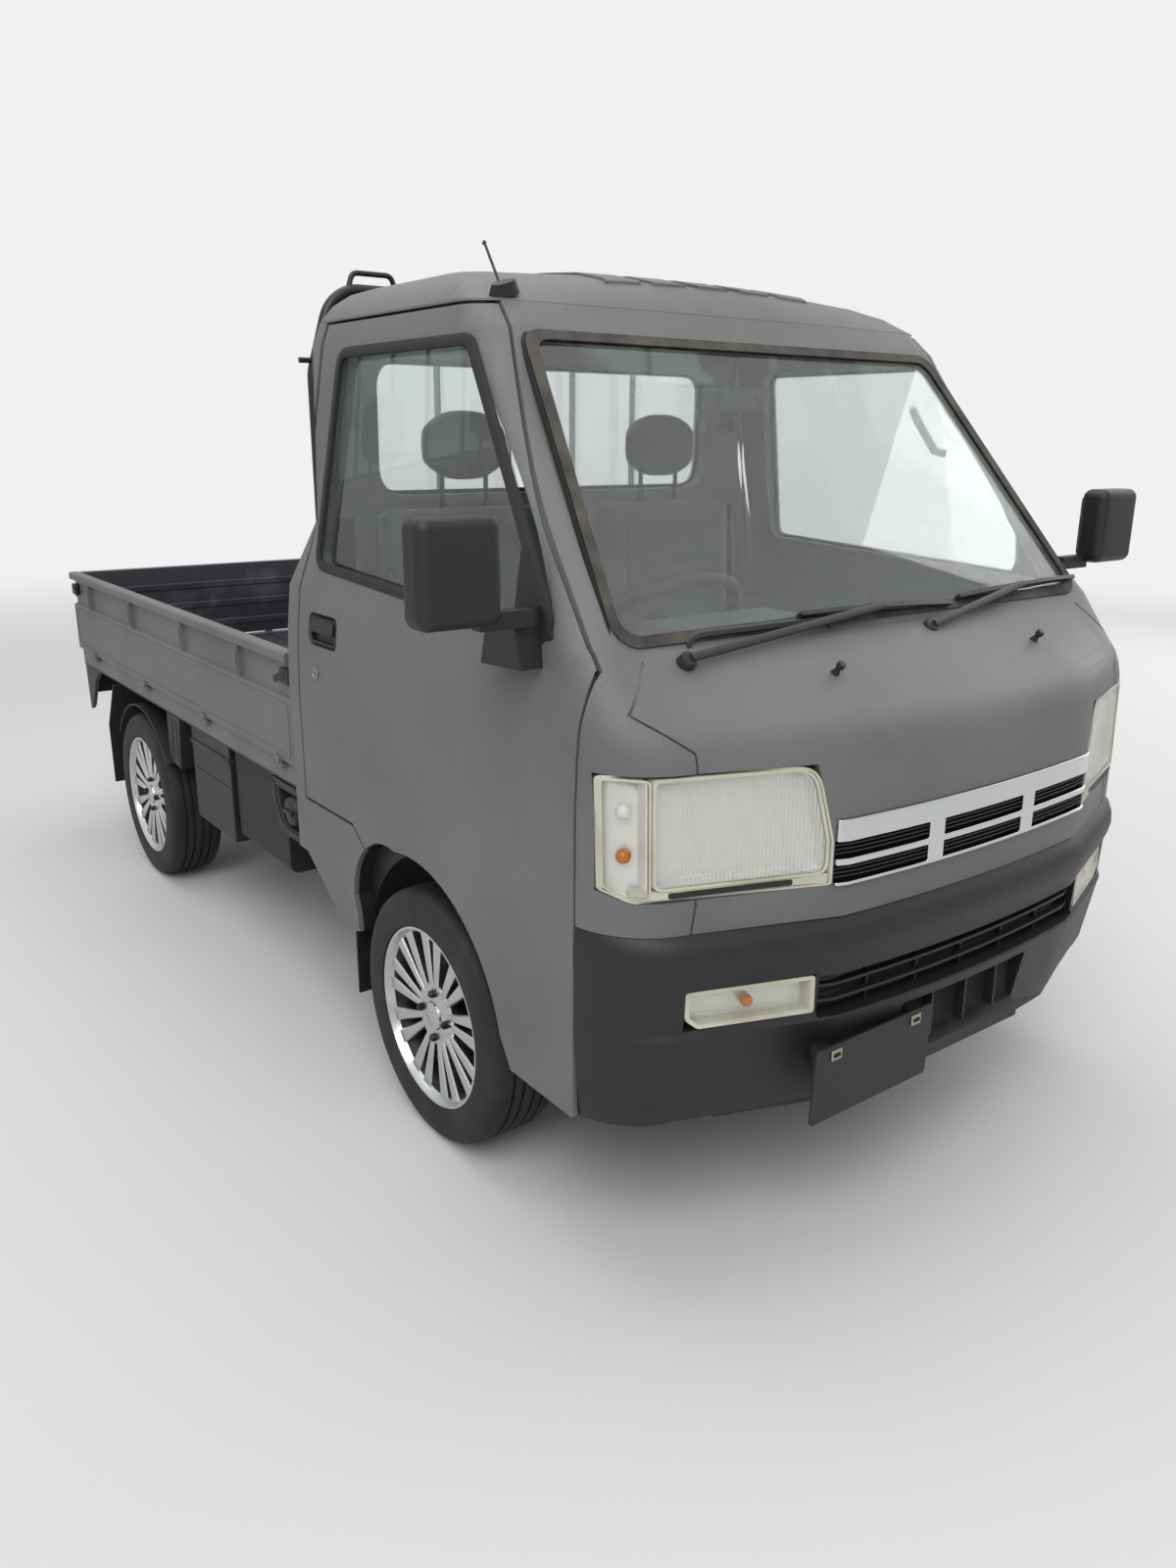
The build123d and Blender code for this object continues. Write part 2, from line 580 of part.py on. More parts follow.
with BuildPart() as front_bumper:
    for z, nose_y, side_x, side_y in BUMPER_SECTIONS:
        with BuildSketch(Plane.XY.offset(z)):
            with BuildLine():
                for s in (1, -1):
                    bow = (s * BUMPER_BOW[0], nose_y + BUMPER_BOW[1])
                    slant = (s * BUMPER_SLANT[0], nose_y + BUMPER_SLANT[1])
                    Line(bow, slant)
                    TangentArc((s * side_x, side_y), slant, tangent=(0, -1))
                    Line((s * side_x, side_y), (s * side_x, BUMPER_REAR_Y))
                ThreePointArc((BUMPER_BOW[0], nose_y + BUMPER_BOW[1]), (0, nose_y),
                              (-BUMPER_BOW[0], nose_y + BUMPER_BOW[1]))
                Line((side_x, BUMPER_REAR_Y), (-side_x, BUMPER_REAR_Y))
            make_face()
    loft(ruled=True)
    add(block(-FAR, FAR, DOOR_FRONT_Y - SEAM, 0, 0, FAR), mode=Mode.SUBTRACT)
    add(block(-BUMPER_LAMP_X[0] + 6, BUMPER_LAMP_X[0] - 6, -FAR, NOSE_BACK_Y, *BUMPER_SLOT_Z),
        mode=Mode.SUBTRACT)
    add(block(-BUMPER_MOUTH_X, BUMPER_MOUTH_X, -FAR, NOSE_BACK_Y, *BUMPER_MOUTH_Z), mode=Mode.SUBTRACT)
    with BuildPart(mode=Mode.PRIVATE) as slot_bars:
        for z in BUMPER_BAR_Z:
            add(block(-BUMPER_LAMP_X[0], BUMPER_LAMP_X[0], -FAR, NOSE_BACK_Y,
                      z - BUMPER_RIB / 2, z + BUMPER_RIB / 2))
        add(cab_form(BUMPER_BAR_INSET[0]), mode=Mode.INTERSECT)
        add(cab_form(BUMPER_BAR_INSET[1]), mode=Mode.SUBTRACT)
    add(slot_bars.part)
    with BuildPart(mode=Mode.PRIVATE) as slot_posts:
        for x in BUMPER_POST_X:
            add(block(x - BUMPER_RIB / 2, x + BUMPER_RIB / 2, -FAR, NOSE_BACK_Y,
                      BUMPER_SLOT_Z[0] - 2, BUMPER_SLOT_Z[1] + 2))
        add(cab_form(BUMPER_BAR_INSET[1] - 2), mode=Mode.INTERSECT)
    add(slot_posts.part)
    add(front_prism(BUMPER_LIFT, -FAR, NOSE_BACK_Y), mode=Mode.SUBTRACT)
    add(side_prism(SCOOP_RAMP, -BUMPER_MOUTH_X, BUMPER_MOUTH_X))
    for s in (-1, 1):
        add(block(s * BUMPER_LAMP_X[0], s * BUMPER_LAMP_X[1], -FAR, NOSE_BACK_Y, *BUMPER_LAMP_Z),
            mode=Mode.SUBTRACT)
    add(cab_form(BUMPER_WALL), mode=Mode.SUBTRACT)
front_bumper.part.label = "front_bumper"
export_step(front_bumper.part, "parts/front_bumper.step")

with BuildPart() as bumper_lamps:
    for s in (-1, 1):
        with BuildPart(mode=Mode.PRIVATE) as lamp:
            add(block(s * (BUMPER_LAMP_X[0] + SEAT_GAP), s * (BUMPER_LAMP_X[1] - SEAT_GAP), -FAR,
                      NOSE_BACK_Y, BUMPER_LAMP_Z[0] + SEAT_GAP, BUMPER_LAMP_Z[1] - SEAT_GAP))
            add(cab_form(BUMPER_LAMP_INSET[0]), mode=Mode.INTERSECT)
            add(cab_form(BUMPER_LAMP_INSET[1]), mode=Mode.SUBTRACT)
        add(lamp.part)
bumper_lamps.part.label = "bumper_lamps"
export_step(bumper_lamps.part, "parts/bumper_lamps.step")

# Wipers: pivot, joint and blade tip on the windscreen, x and distance up the slope
WIPERS = ((-531, -34, -28, 18, 182, 12), (86, -34, 424, 30, 636, 38))
WIPER_LIFT = 20.0
WIPER_PIVOT = (14.0, 4.0, 30.0)
WIPER_ARM = (13.0, 8.0)
WIPER_BLADE = (9.0, 4.3, 22.3)
with BuildPart() as wipers:
    for pivot_x, pivot_v, joint_x, joint_v, tip_x, tip_v in WIPERS:
        with BuildSketch(SCREEN_PLANE.offset(WIPER_PIVOT[1])):
            with Locations((pivot_x, pivot_v)):
                Circle(WIPER_PIVOT[0])
        extrude(amount=WIPER_PIVOT[2] - WIPER_PIVOT[1])
        angle = degrees(atan2(joint_v - pivot_v, joint_x - pivot_x))
        with BuildSketch(SCREEN_PLANE.offset(WIPER_LIFT)):
            with Locations(Location(((pivot_x + joint_x) / 2, (pivot_v + joint_v) / 2), angle)):
                Rectangle(hypot(joint_x - pivot_x, joint_v - pivot_v) + WIPER_ARM[0], WIPER_ARM[0])
        extrude(amount=WIPER_ARM[1])
        blade_angle = degrees(atan2(tip_v - joint_v, tip_x - joint_x))
        reach = hypot(tip_x - joint_x, tip_v - joint_v)
        with BuildSketch(SCREEN_PLANE.offset(WIPER_BLADE[1])):
            with Locations(Location((joint_x, joint_v), blade_angle)):
                Rectangle(2 * reach, WIPER_BLADE[0])
        extrude(amount=WIPER_BLADE[2] - WIPER_BLADE[1])
    add(cab_form(-SEAT_GAP), mode=Mode.SUBTRACT)
wipers.part.label = "wipers"
export_step(wipers.part, "parts/wipers.step")

# Aerial on the roof's front right corner
AERIAL_FOOT = (-545.0, -950.0, 1669.0)
AERIAL_FOOT_AXIS = (-0.35, -0.45, 1)
AERIAL_FOOT_SIZE = (16.0, 32.0, 24.0)
AERIAL_MAST_AXIS = (0.1, 0.65, 0.75)
AERIAL_MAST_RADIUS = 2.5
AERIAL_MAST_SPAN = (12.0, 132.0)
with BuildPart() as aerial:
    with BuildSketch(Plane(origin=AERIAL_FOOT, z_dir=AERIAL_FOOT_AXIS)):
        Ellipse(AERIAL_FOOT_SIZE[0], AERIAL_FOOT_SIZE[1])
    extrude(amount=AERIAL_FOOT_SIZE[2], taper=18)
    with BuildSketch(Plane(origin=AERIAL_FOOT, z_dir=AERIAL_MAST_AXIS).offset(AERIAL_MAST_SPAN[0])):
        Circle(AERIAL_MAST_RADIUS)
    extrude(amount=AERIAL_MAST_SPAN[1] - AERIAL_MAST_SPAN[0])
    add(cab_form(-SEAT_GAP), mode=Mode.SUBTRACT)
aerial.part.label = "aerial"
export_step(aerial.part, "parts/aerial.step")

# Ladder frame
RAIL_X = 325.0
RAIL_WIDTH = 50.0
RAIL_UNDER_Z = 420.0
RAIL_PATH = (
    (-1556, 280), (-1200, 280), (-1080, RAIL_UNDER_Z), (640, RAIL_UNDER_Z),
    (760, 500), (1220, 500), (1330, 470), (1640, 470),
    (1640, 560), (1370, 560), (1240, 590), (740, 590),
    (600, 510), (-1100, 510), (-1240, 344.7), (-1556, 344.7),
)
CROSS_MEMBERS = (
    (-1500, 312), (-1130, 440), (-380, 465), (150, 465),
    (620, 465), (1180, 545), (1380, 515), (1600, 515),
)
CROSS_RADIUS = 28.0
CAB_POST_Y = (-420.0, -320.0)
CAB_POST_RADIUS = 22.0
CAB_POST_FOOT_Z = 505.0
with BuildPart() as ladder_frame:
    for s in (-1, 1):
        add(side_prism(RAIL_PATH, s * (RAIL_X - RAIL_WIDTH / 2), s * (RAIL_X + RAIL_WIDTH / 2)))
    for y, z in CROSS_MEMBERS:
        add(bar_x(CROSS_RADIUS, -RAIL_X, RAIL_X, y, z))
    for y in CAB_POST_Y:
        for s in (-1, 1):
            add(bar_z(CAB_POST_RADIUS, CAB_POST_FOOT_Z, UNDERFLOOR_Z - SEAT_GAP, s * RAIL_X, y))
ladder_frame.part.label = "ladder_frame"
export_step(ladder_frame.part, "parts/ladder_frame.step")

# Steering axis of the front wheels leans inwards at the top
PIN_FOOT = (616.0, 165.0)
PIN_HEAD = (520.0, 590.0)
PIN_RADIUS = 22.0
STRUT_RADIUS = 18.0
HUB_RADIUS = 34.0
HUB_INNER_X = 585.0
DISC_RADIUS = 94.0
DISC_X = (628.0, 642.0)
KNUCKLE_SPAN = (4.0, 200.0)
STRUT_SPAN = (190.0, 380.0)
ARM_X = (300.0, 626.0)
ARM_Z = 158.0
ARM_THICK = 16.0
ARM_REACH_Y = (-110.0, 150.0)
ARM_TIP_Y = 22.0
SUBFRAME_HALF = (45.0, 30.0)
STRUT_CUP_RADIUS = 80.0
POST_RADIUS = 24.0
RACK = (20.0, 430.0, -130.0, 208.0)
RACK_SEAT_Y = (-150.0, -40.0)
RACK_SEAT_Z = (168.0, 200.0)
RIM_DISH_X = 675.0


def pin_plane(s, along):
    """Plane across the steering axis of side s, some way up from its foot."""
    run = PIN_HEAD[0] - PIN_FOOT[0]
    rise = PIN_HEAD[1] - PIN_FOOT[1]
    length = hypot(run, rise)
    return Plane(
        origin=(s * (PIN_FOOT[0] + run * along / length), FRONT_AXLE_Y,
                PIN_FOOT[1] + rise * along / length),
        x_dir=(0, 1, 0),
        z_dir=(s * run / length, 0, rise / length),
    )


for name, s in SIDES:
    with BuildPart() as knuckle:
        with BuildSketch(pin_plane(s, KNUCKLE_SPAN[0])):
            Circle(PIN_RADIUS)
        extrude(amount=KNUCKLE_SPAN[1] - KNUCKLE_SPAN[0])
        with BuildSketch(pin_plane(s, STRUT_SPAN[0])):
            Circle(STRUT_RADIUS)
        extrude(amount=STRUT_SPAN[1] - STRUT_SPAN[0])
        add(bar_x(HUB_RADIUS, s * HUB_INNER_X, s * (RIM_DISH_X - 2 * SEAT_GAP), FRONT_AXLE_Y, TYRE_RADIUS))
        add(bar_x(DISC_RADIUS, s * DISC_X[0], s * DISC_X[1], FRONT_AXLE_Y, TYRE_RADIUS))
    knuckle.part.label = f"knuckle_{name}"
    export_step(knuckle.part, f"parts/knuckle_{name}.step")

# Lower arms, steering rack and strut seats
with BuildPart() as front_suspension:
    add(block(-ARM_X[0], ARM_X[0], FRONT_AXLE_Y - SUBFRAME_HALF[0], FRONT_AXLE_Y + SUBFRAME_HALF[0],
              ARM_Z - SUBFRAME_HALF[1], ARM_Z + SUBFRAME_HALF[1]))
    for s in (-1, 1):
        with BuildPart(mode=Mode.PRIVATE) as arm:
            with BuildSketch(Plane.XY.offset(ARM_Z - ARM_THICK)):
                with BuildLine():
                    Polyline((s * (ARM_X[0] - 10), FRONT_AXLE_Y + ARM_REACH_Y[0]),
                             (s * ARM_X[1], FRONT_AXLE_Y - ARM_TIP_Y),
                             (s * ARM_X[1], FRONT_AXLE_Y + ARM_TIP_Y),
                             (s * (ARM_X[0] - 10), FRONT_AXLE_Y + ARM_REACH_Y[1]), close=True)
                make_face()
            extrude(amount=2 * ARM_THICK)
            with BuildSketch(pin_plane(s, KNUCKLE_SPAN[0] - SEAT_GAP), mode=Mode.PRIVATE) as seat:
                Circle(STRUT_CUP_RADIUS)
            extrude(seat.sketch, amount=STRUT_CUP_RADIUS, mode=Mode.SUBTRACT)
        add(arm.part)
        add(bar_z(POST_RADIUS, ARM_Z, RAIL_UNDER_Z - SEAT_GAP, s * RAIL_X, FRONT_AXLE_Y))
    add(bar_x(RACK[0], -RACK[1], RACK[1], FRONT_AXLE_Y + RACK[2], RACK[3]))
    add(block(-RAIL_X, RAIL_X, FRONT_AXLE_Y + RACK_SEAT_Y[0], FRONT_AXLE_Y + RACK_SEAT_Y[1],
              *RACK_SEAT_Z))
front_suspension.part.label = "front_suspension"
export_step(front_suspension.part, "parts/front_suspension.step")

# Rear axle on leaf springs, with the propeller shaft
SPRING_X = 440.0
SPRING_WIDTH = 54.0
SPRING_LEAVES = (535.0, 380.0, 230.0)
SPRING_BEND = 0.0003
LEAF = 10.5
LEAF_PITCH = 10.0
SPRING_SEAT = (36.0, 40.0, 290.0, 336.0)
SPRING_EYE = (18.0, 424.0)
HANGER = (12.0, 26.0, 410.0, 500.0)
AXLE_RADIUS = 34.0
AXLE_END_X = RIM_DISH_X - SEAT_GAP
DIFFERENTIAL = (98.0, 70.0)
DRUM = (105.0, 588.0, 628.0)
SHAFT_RADIUS = 28.0
SHAFT_Z = TYRE_RADIUS + 20
RAIL_FACE_X = RAIL_X + RAIL_WIDTH / 2
ENGINE_REAR_Y = -430.0
with BuildPart() as rear_axle:
    add(bar_x(AXLE_RADIUS, -AXLE_END_X, AXLE_END_X, REAR_AXLE_Y, TYRE_RADIUS))
    add(bar_x(DIFFERENTIAL[0], -DIFFERENTIAL[1], DIFFERENTIAL[1], REAR_AXLE_Y, TYRE_RADIUS))
    for s in (-1, 1):
        add(bar_x(DRUM[0], s * DRUM[1], s * DRUM[2], REAR_AXLE_Y, TYRE_RADIUS))
        for leaf, half_length in enumerate(SPRING_LEAVES):
            low = TYRE_RADIUS + AXLE_RADIUS + 26 - LEAF_PITCH * leaf
            end = low + SPRING_BEND * half_length ** 2
            y0 = REAR_AXLE_Y - half_length
            y1 = REAR_AXLE_Y + half_length
            with BuildSketch(Plane.YZ.offset(s * (SPRING_X - SPRING_WIDTH / 2))):
                with BuildLine():
                    ThreePointArc((y0, end), (REAR_AXLE_Y, low), (y1, end))
                    Line((y1, end), (y1, end + LEAF))
                    ThreePointArc((y1, end + LEAF), (REAR_AXLE_Y, low + LEAF), (y0, end + LEAF))
                    Line((y0, end + LEAF), (y0, end))
                make_face()
            extrude(amount=s * SPRING_WIDTH)
        add(block(s * (SPRING_X - SPRING_SEAT[0]), s * (SPRING_X + SPRING_SEAT[0]),
                  REAR_AXLE_Y - SPRING_SEAT[1], REAR_AXLE_Y + SPRING_SEAT[1], *SPRING_SEAT[2:]))
        for y in (REAR_AXLE_Y - SPRING_LEAVES[0], REAR_AXLE_Y + SPRING_LEAVES[0]):
            add(bar_x(SPRING_EYE[0], s * (RAIL_FACE_X + SEAT_GAP), s * (SPRING_X + 30), y, SPRING_EYE[1]))
            add(block(s * (RAIL_FACE_X + SEAT_GAP), s * (RAIL_FACE_X + HANGER[0]),
                      y - HANGER[1], y + HANGER[1], *HANGER[2:]))
    add(bar_y(SHAFT_RADIUS, ENGINE_REAR_Y + 10, REAR_AXLE_Y, 0, SHAFT_Z))
rear_axle.part.label = "rear_axle"
export_step(rear_axle.part, "parts/rear_axle.step")

# Wheels
TYRE_PROFILE = ((RIM_LIP_RADIUS + 1, 76), (236, 82), (258, 78), (268, 66), (TYRE_RADIUS, 50))
RIM_PROFILE = (
    (RIM_LIP_RADIUS, 70), (RIM_LIP_RADIUS, 78), (186, 78), (182, 66), (172, 50), (160, 0),
    (166, -60), (180, -78), (RIM_LIP_RADIUS, -78), (RIM_LIP_RADIUS, -70), (178, -66),
    (172, -56), (168, 0), (178, 56),
)
SPOKE_FACE = 64.0
SPOKE_THICK = 22.0
SPOKE_START = 40.0
SPOKE_END = 186.0
SPOKE_WIDTH = 24.0
SPOKE_SPREAD = 9.0
HUB_DISC = (72.0, 38.0)
HUB_CAP = (31.0, -7.0, 3.0)
for place, y in (("front", FRONT_AXLE_Y), ("rear", REAR_AXLE_Y)):
    for name, s in SIDES:
        hub = Plane(origin=(s * WHEEL_X, y, TYRE_RADIUS), x_dir=(0, 0, 1), z_dir=(0, 1, 0))
        with BuildPart() as tyre:
            with BuildSketch(hub):
                with BuildLine():
                    inner = [(r, -x) for r, x in reversed(TYRE_PROFILE)]
                    Polyline(*TYRE_PROFILE, *inner, close=True)
                make_face()
            revolve(axis=Axis((0, y, TYRE_RADIUS), (1, 0, 0)))
        tyre.part.label = f"tyre_{place}_{name}"
        export_step(tyre.part, f"parts/tyre_{place}_{name}.step")

        with BuildPart() as rim:
            with BuildSketch(hub):
                with BuildLine():
                    Polyline(*RIM_PROFILE, close=True)
                make_face()
            revolve(axis=Axis((0, y, TYRE_RADIUS), (1, 0, 0)))
            face = Plane(
                origin=(s * (WHEEL_X + SPOKE_FACE), y, TYRE_RADIUS),
                x_dir=(0, 1, 0),
                z_dir=(s, 0, 0),
            )
            with BuildSketch(face.offset(-SPOKE_THICK)):
                for i in range(2 * SPOKE_PAIRS):
                    lean = SPOKE_SPREAD if i % 2 else -SPOKE_SPREAD
                    turn = 360 / SPOKE_PAIRS * (i // 2) + lean
                    with Locations(Rot(0, 0, turn)):
                        with Locations((0, (SPOKE_START + SPOKE_END) / 2)):
                            Trapezoid(SPOKE_WIDTH, SPOKE_END - SPOKE_START, 86)
            extrude(amount=SPOKE_THICK)
            with BuildSketch(face.offset(RIM_DISH_X - WHEEL_X - SPOKE_FACE)):
                Circle(HUB_DISC[0])
            extrude(amount=HUB_DISC[1])
            with BuildSketch(face.offset(HUB_CAP[1])):
                Circle(HUB_CAP[0])
            extrude(amount=HUB_CAP[2] - HUB_CAP[1])
        rim.part.label = f"rim_{place}_{name}"
        export_step(rim.part, f"parts/rim_{place}_{name}.step")

# Bed
BED_FRONT_Y = -282.0
BED_REAR_Y = 1691.0
BED_FLOOR_Z = 656.0
BED_PLATE = 14.0
BED_STEP = 3.0
BED_RIM_Z = BED_FLOOR_Z - BED_STEP
FLOOR_UNDER_Z = BED_FLOOR_Z - BED_PLATE
BED_END_Y = BED_REAR_Y - 12
TAIL_SILL = 30.0
BEAM_HALF = 24.0
BEAM_FOOT = 20.0
GATE_BOTTOM_Z = 665.0
GATE_TOP_Z = 941.0
GATE_OUTER_X = 728.0
GATE_INNER_X = 702.0
GATE_RAIL_X = 736.0
GATE_BAND_X = 716.0
GATE_SHOULDER_Z = 828.0
GATE_RAIL_Z = 915.0
HINGE_X = 731.0
HINGE_Z = 652.0
HINGE_RADIUS = 6.0
HINGE_KNUCKLE = 14.0
HINGE_LENGTH = 62.0
HINGE_LEAF_Z = GATE_BOTTOM_Z + 10
SILL_X = 719.0
SILL_Z = (606.0, 660.0)
SILL_WIDTH = 22.0
INNER_HALF = GATE_INNER_X - SEAM
TAIL_INNER_Y = 1665.0
HINGE_Y = (-220.0, 317.0, 862.0, 1442.0)
GATE_RIB_Y = (49.0, 493.0, 990.0, 1474.0)
GATE_RIB = 9.0
GUARD_BOARD = 26.0
BED_BEAMS = (
    (-250, 510), (60, 510), (400, 510), (800, 590), (1180, 590), (1420, 560), (1600, 560),
)

gate_profile = (
    (GATE_INNER_X, GATE_BOTTOM_Z), (GATE_OUTER_X, GATE_BOTTOM_Z),
    (GATE_OUTER_X, GATE_SHOULDER_Z - 6), (GATE_OUTER_X - 4, GATE_SHOULDER_Z),
    (GATE_BAND_X, GATE_SHOULDER_Z + 3), (GATE_BAND_X, GATE_RAIL_Z),
    (GATE_RAIL_X - 3, GATE_RAIL_Z), (GATE_RAIL_X, GATE_RAIL_Z + 4),
    (GATE_RAIL_X, GATE_TOP_Z - 5), (GATE_RAIL_X - 5, GATE_TOP_Z), (GATE_INNER_X, GATE_TOP_Z),
)
for name, s in SIDES:
    with BuildPart() as side_gate:
        add(front_prism(mirrored(gate_profile, s), BED_FRONT_Y, BED_REAR_Y))
        for y in GATE_RIB_Y:
            add(block(s * (GATE_BAND_X - 2), s * (GATE_RAIL_X - 8), y - GATE_RIB / 2, y + GATE_RIB / 2,
                      GATE_SHOULDER_Z, GATE_RAIL_Z + 2))
        for y in HINGE_Y:
            knuckle_y = (y + HINGE_KNUCKLE + SEAT_GAP, y + HINGE_LENGTH - HINGE_KNUCKLE - SEAT_GAP)
            add(bar_y(HINGE_RADIUS, *knuckle_y, s * HINGE_X, HINGE_Z))
            add(block(s * (GATE_OUTER_X - 6), s * (HINGE_X + HINGE_RADIUS - 1),
                      knuckle_y[0] + 2, knuckle_y[1] - 2, HINGE_Z, HINGE_LEAF_Z))
    side_gate.part.label = f"side_gate_{name}"
    export_step(side_gate.part, f"parts/side_gate_{name}.step")

TAIL_OUTER_Y = BED_REAR_Y
TAIL_BAND_Y = BED_REAR_Y - 12
tail_profile = (
    (TAIL_INNER_Y, GATE_BOTTOM_Z), (TAIL_OUTER_Y, GATE_BOTTOM_Z),
    (TAIL_OUTER_Y, GATE_SHOULDER_Z - 6), (TAIL_OUTER_Y - 4, GATE_SHOULDER_Z),
    (TAIL_BAND_Y, GATE_SHOULDER_Z + 3), (TAIL_BAND_Y, GATE_RAIL_Z),
    (TAIL_OUTER_Y - 2, GATE_RAIL_Z), (TAIL_OUTER_Y, GATE_RAIL_Z + 4),
    (TAIL_OUTER_Y, GATE_TOP_Z - 5), (TAIL_OUTER_Y - 5, GATE_TOP_Z), (TAIL_INNER_Y, GATE_TOP_Z),
)
TAIL_HINGE_Y = REAR_Y - HINGE_RADIUS
TAIL_HINGE_X = (-560.0, 0.0, 560.0)
with BuildPart() as tailgate:
    add(side_prism(tail_profile, -INNER_HALF, INNER_HALF))
    for x in TAIL_HINGE_X:
        half = HINGE_LENGTH / 2 - HINGE_KNUCKLE - SEAT_GAP
        add(bar_x(HINGE_RADIUS, x - half, x + half, TAIL_HINGE_Y, HINGE_Z))
        add(block(x - half + 2, x + half - 2, TAIL_OUTER_Y - 6, TAIL_HINGE_Y + HINGE_RADIUS - 1,
                  HINGE_Z, HINGE_LEAF_Z))
tailgate.part.label = "tailgate"
export_step(tailgate.part, "parts/tailgate.step")

with BuildPart() as bed_floor:
    add(block(-SILL_X, SILL_X, BED_FRONT_Y, BED_END_Y, FLOOR_UNDER_Z, BED_RIM_Z))
    add(block(-INNER_HALF + SEAM, INNER_HALF - SEAM, BED_FRONT_Y + GUARD_BOARD + SEAM,
              TAIL_INNER_Y - SEAM, BED_RIM_Z - 1, BED_FLOOR_Z))
    for s in (-1, 1):
        add(block(s * (SILL_X - SILL_WIDTH), s * SILL_X, BED_FRONT_Y, BED_END_Y, *SILL_Z))
        for y in HINGE_Y:
            for y0 in (y, y + HINGE_LENGTH - HINGE_KNUCKLE):
                add(bar_y(HINGE_RADIUS, y0, y0 + HINGE_KNUCKLE, s * HINGE_X, HINGE_Z))
                add(block(s * (SILL_X - 4), s * HINGE_X, y0, y0 + HINGE_KNUCKLE,
                          HINGE_Z - HINGE_RADIUS, HINGE_Z + 1))
    add(block(-SILL_X, SILL_X, BED_END_Y - TAIL_SILL, BED_END_Y, *SILL_Z))
    for x in TAIL_HINGE_X:
        for x0 in (x - HINGE_LENGTH / 2, x + HINGE_LENGTH / 2 - HINGE_KNUCKLE):
            add(bar_x(HINGE_RADIUS, x0, x0 + HINGE_KNUCKLE, TAIL_HINGE_Y, HINGE_Z))
            add(block(x0, x0 + HINGE_KNUCKLE, BED_END_Y - 2, TAIL_HINGE_Y,
                      HINGE_Z - HINGE_RADIUS, HINGE_Z + 1))
    for y, rail_top in BED_BEAMS:
        add(block(-SILL_X + 20, SILL_X - 20, y - BEAM_HALF, y + BEAM_HALF, SILL_Z[0], BED_RIM_Z - 2))
        for s in (-1, 1):
            add(block(s * (RAIL_X - BEAM_FOOT), s * (RAIL_X + BEAM_FOOT), y - BEAM_FOOT, y + BEAM_FOOT,
                      rail_top + SEAT_GAP, SILL_Z[0] + 2))
bed_floor.part.label = "bed_floor"
export_step(bed_floor.part, "parts/bed_floor.step")

# Headboard with the guard frame behind the cab
GUARD_TUBE = 13.0
LOOP_RADIUS = 6.0
LOOP_Z = HEIGHT - LOOP_RADIUS
GUARD_TOP_Z = 1738.0
GUARD_FOOT_Z = GATE_TOP_Z - 21
GUARD_PATH = (
    (-615, GUARD_FOOT_Z), (-615, 1560), (-560, GUARD_TOP_Z),
    (560, GUARD_TOP_Z), (615, 1560), (615, GUARD_FOOT_Z),
)
GUARD_Y = BED_FRONT_Y + 14.0
GUARD_BARS_X = (-300.0, -100.0, 100.0, 300.0)
GUARD_BAR = 8.0
GUARD_CROSS = (9.0, 612.0, 1180.0)
LOOP_X = (400.0, 412.0, 508.0, 520.0)
SIDE_HOOK = (612.0, 646.0, 1585.0)
with BuildPart() as cab_guard:
    add(block(-INNER_HALF, INNER_HALF, BED_FRONT_Y, BED_FRONT_Y + GUARD_BOARD,
              BED_RIM_Z + SEAT_GAP, GATE_TOP_Z))
    with BuildLine(Plane.XZ.offset(-GUARD_Y)) as guard_line:
        FilletPolyline(*GUARD_PATH, radius=90)
    with BuildSketch(Plane(origin=(GUARD_PATH[0][0], GUARD_Y, GUARD_PATH[0][1]), z_dir=(0, 0, 1))):
        Circle(GUARD_TUBE)
    sweep(path=guard_line.line)
    for x in GUARD_BARS_X:
        add(bar_z(GUARD_BAR, GUARD_FOOT_Z, GUARD_TOP_Z, x, GUARD_Y))
    add(bar_x(GUARD_CROSS[0], -GUARD_CROSS[1], GUARD_CROSS[1], GUARD_Y, GUARD_CROSS[2]))
    for s in (-1, 1):
        foot = (s * LOOP_X[0], GUARD_TOP_Z)
        head = (s * LOOP_X[1], LOOP_Z)
        with BuildLine(Plane.XZ.offset(-GUARD_Y)) as loop_line:
            FilletPolyline(foot, head, (s * LOOP_X[2], LOOP_Z), (s * LOOP_X[3], GUARD_TOP_Z), radius=18)
        with BuildSketch(Plane(origin=(foot[0], GUARD_Y, foot[1]),
                               z_dir=(head[0] - foot[0], 0, head[1] - foot[1]))):
            Circle(LOOP_RADIUS)
        sweep(path=loop_line.line)
        add(bar_x(LOOP_RADIUS, s * SIDE_HOOK[0], s * SIDE_HOOK[1], GUARD_Y, SIDE_HOOK[2]))
cab_guard.part.label = "cab_guard"
export_step(cab_guard.part, "parts/cab_guard.step")

# Mud flaps and the guards round the rear wheels
GUARD_SHEET = 5.0
FENDER_RADIUS = 300.0
FENDER_X = 733.0
FENDER_BOTTOM_Z = 438.0
FENDER_INNER_X = 540.0
FENDER_POST_X = (600.0, 660.0)
FENDER_POST_Z = 574.0
SKIRT_X = (704.0, 717.0)
FLAP_INNER_X = 560.0
FLAP_X = 600.0
FLAP_UPPER = (
    (1262, FLOOR_UNDER_Z - SEAT_GAP), (1268, FLOOR_UNDER_Z - SEAT_GAP), (1268, 606), (1381, 441),
    (1381, 223), (1375, 223), (1375, 439), (1262, 604),
)
FLAP_LOWER = ((1268, 598), (1381, 436), (1381, 223), (1375, 223), (1375, 434), (1262, 596))
FENDER_FRONT = (
    (612, SILL_Z[0] - SEAT_GAP), (735, SILL_Z[0] - SEAT_GAP), (742, 470), (738, 445), (640, 440),
)
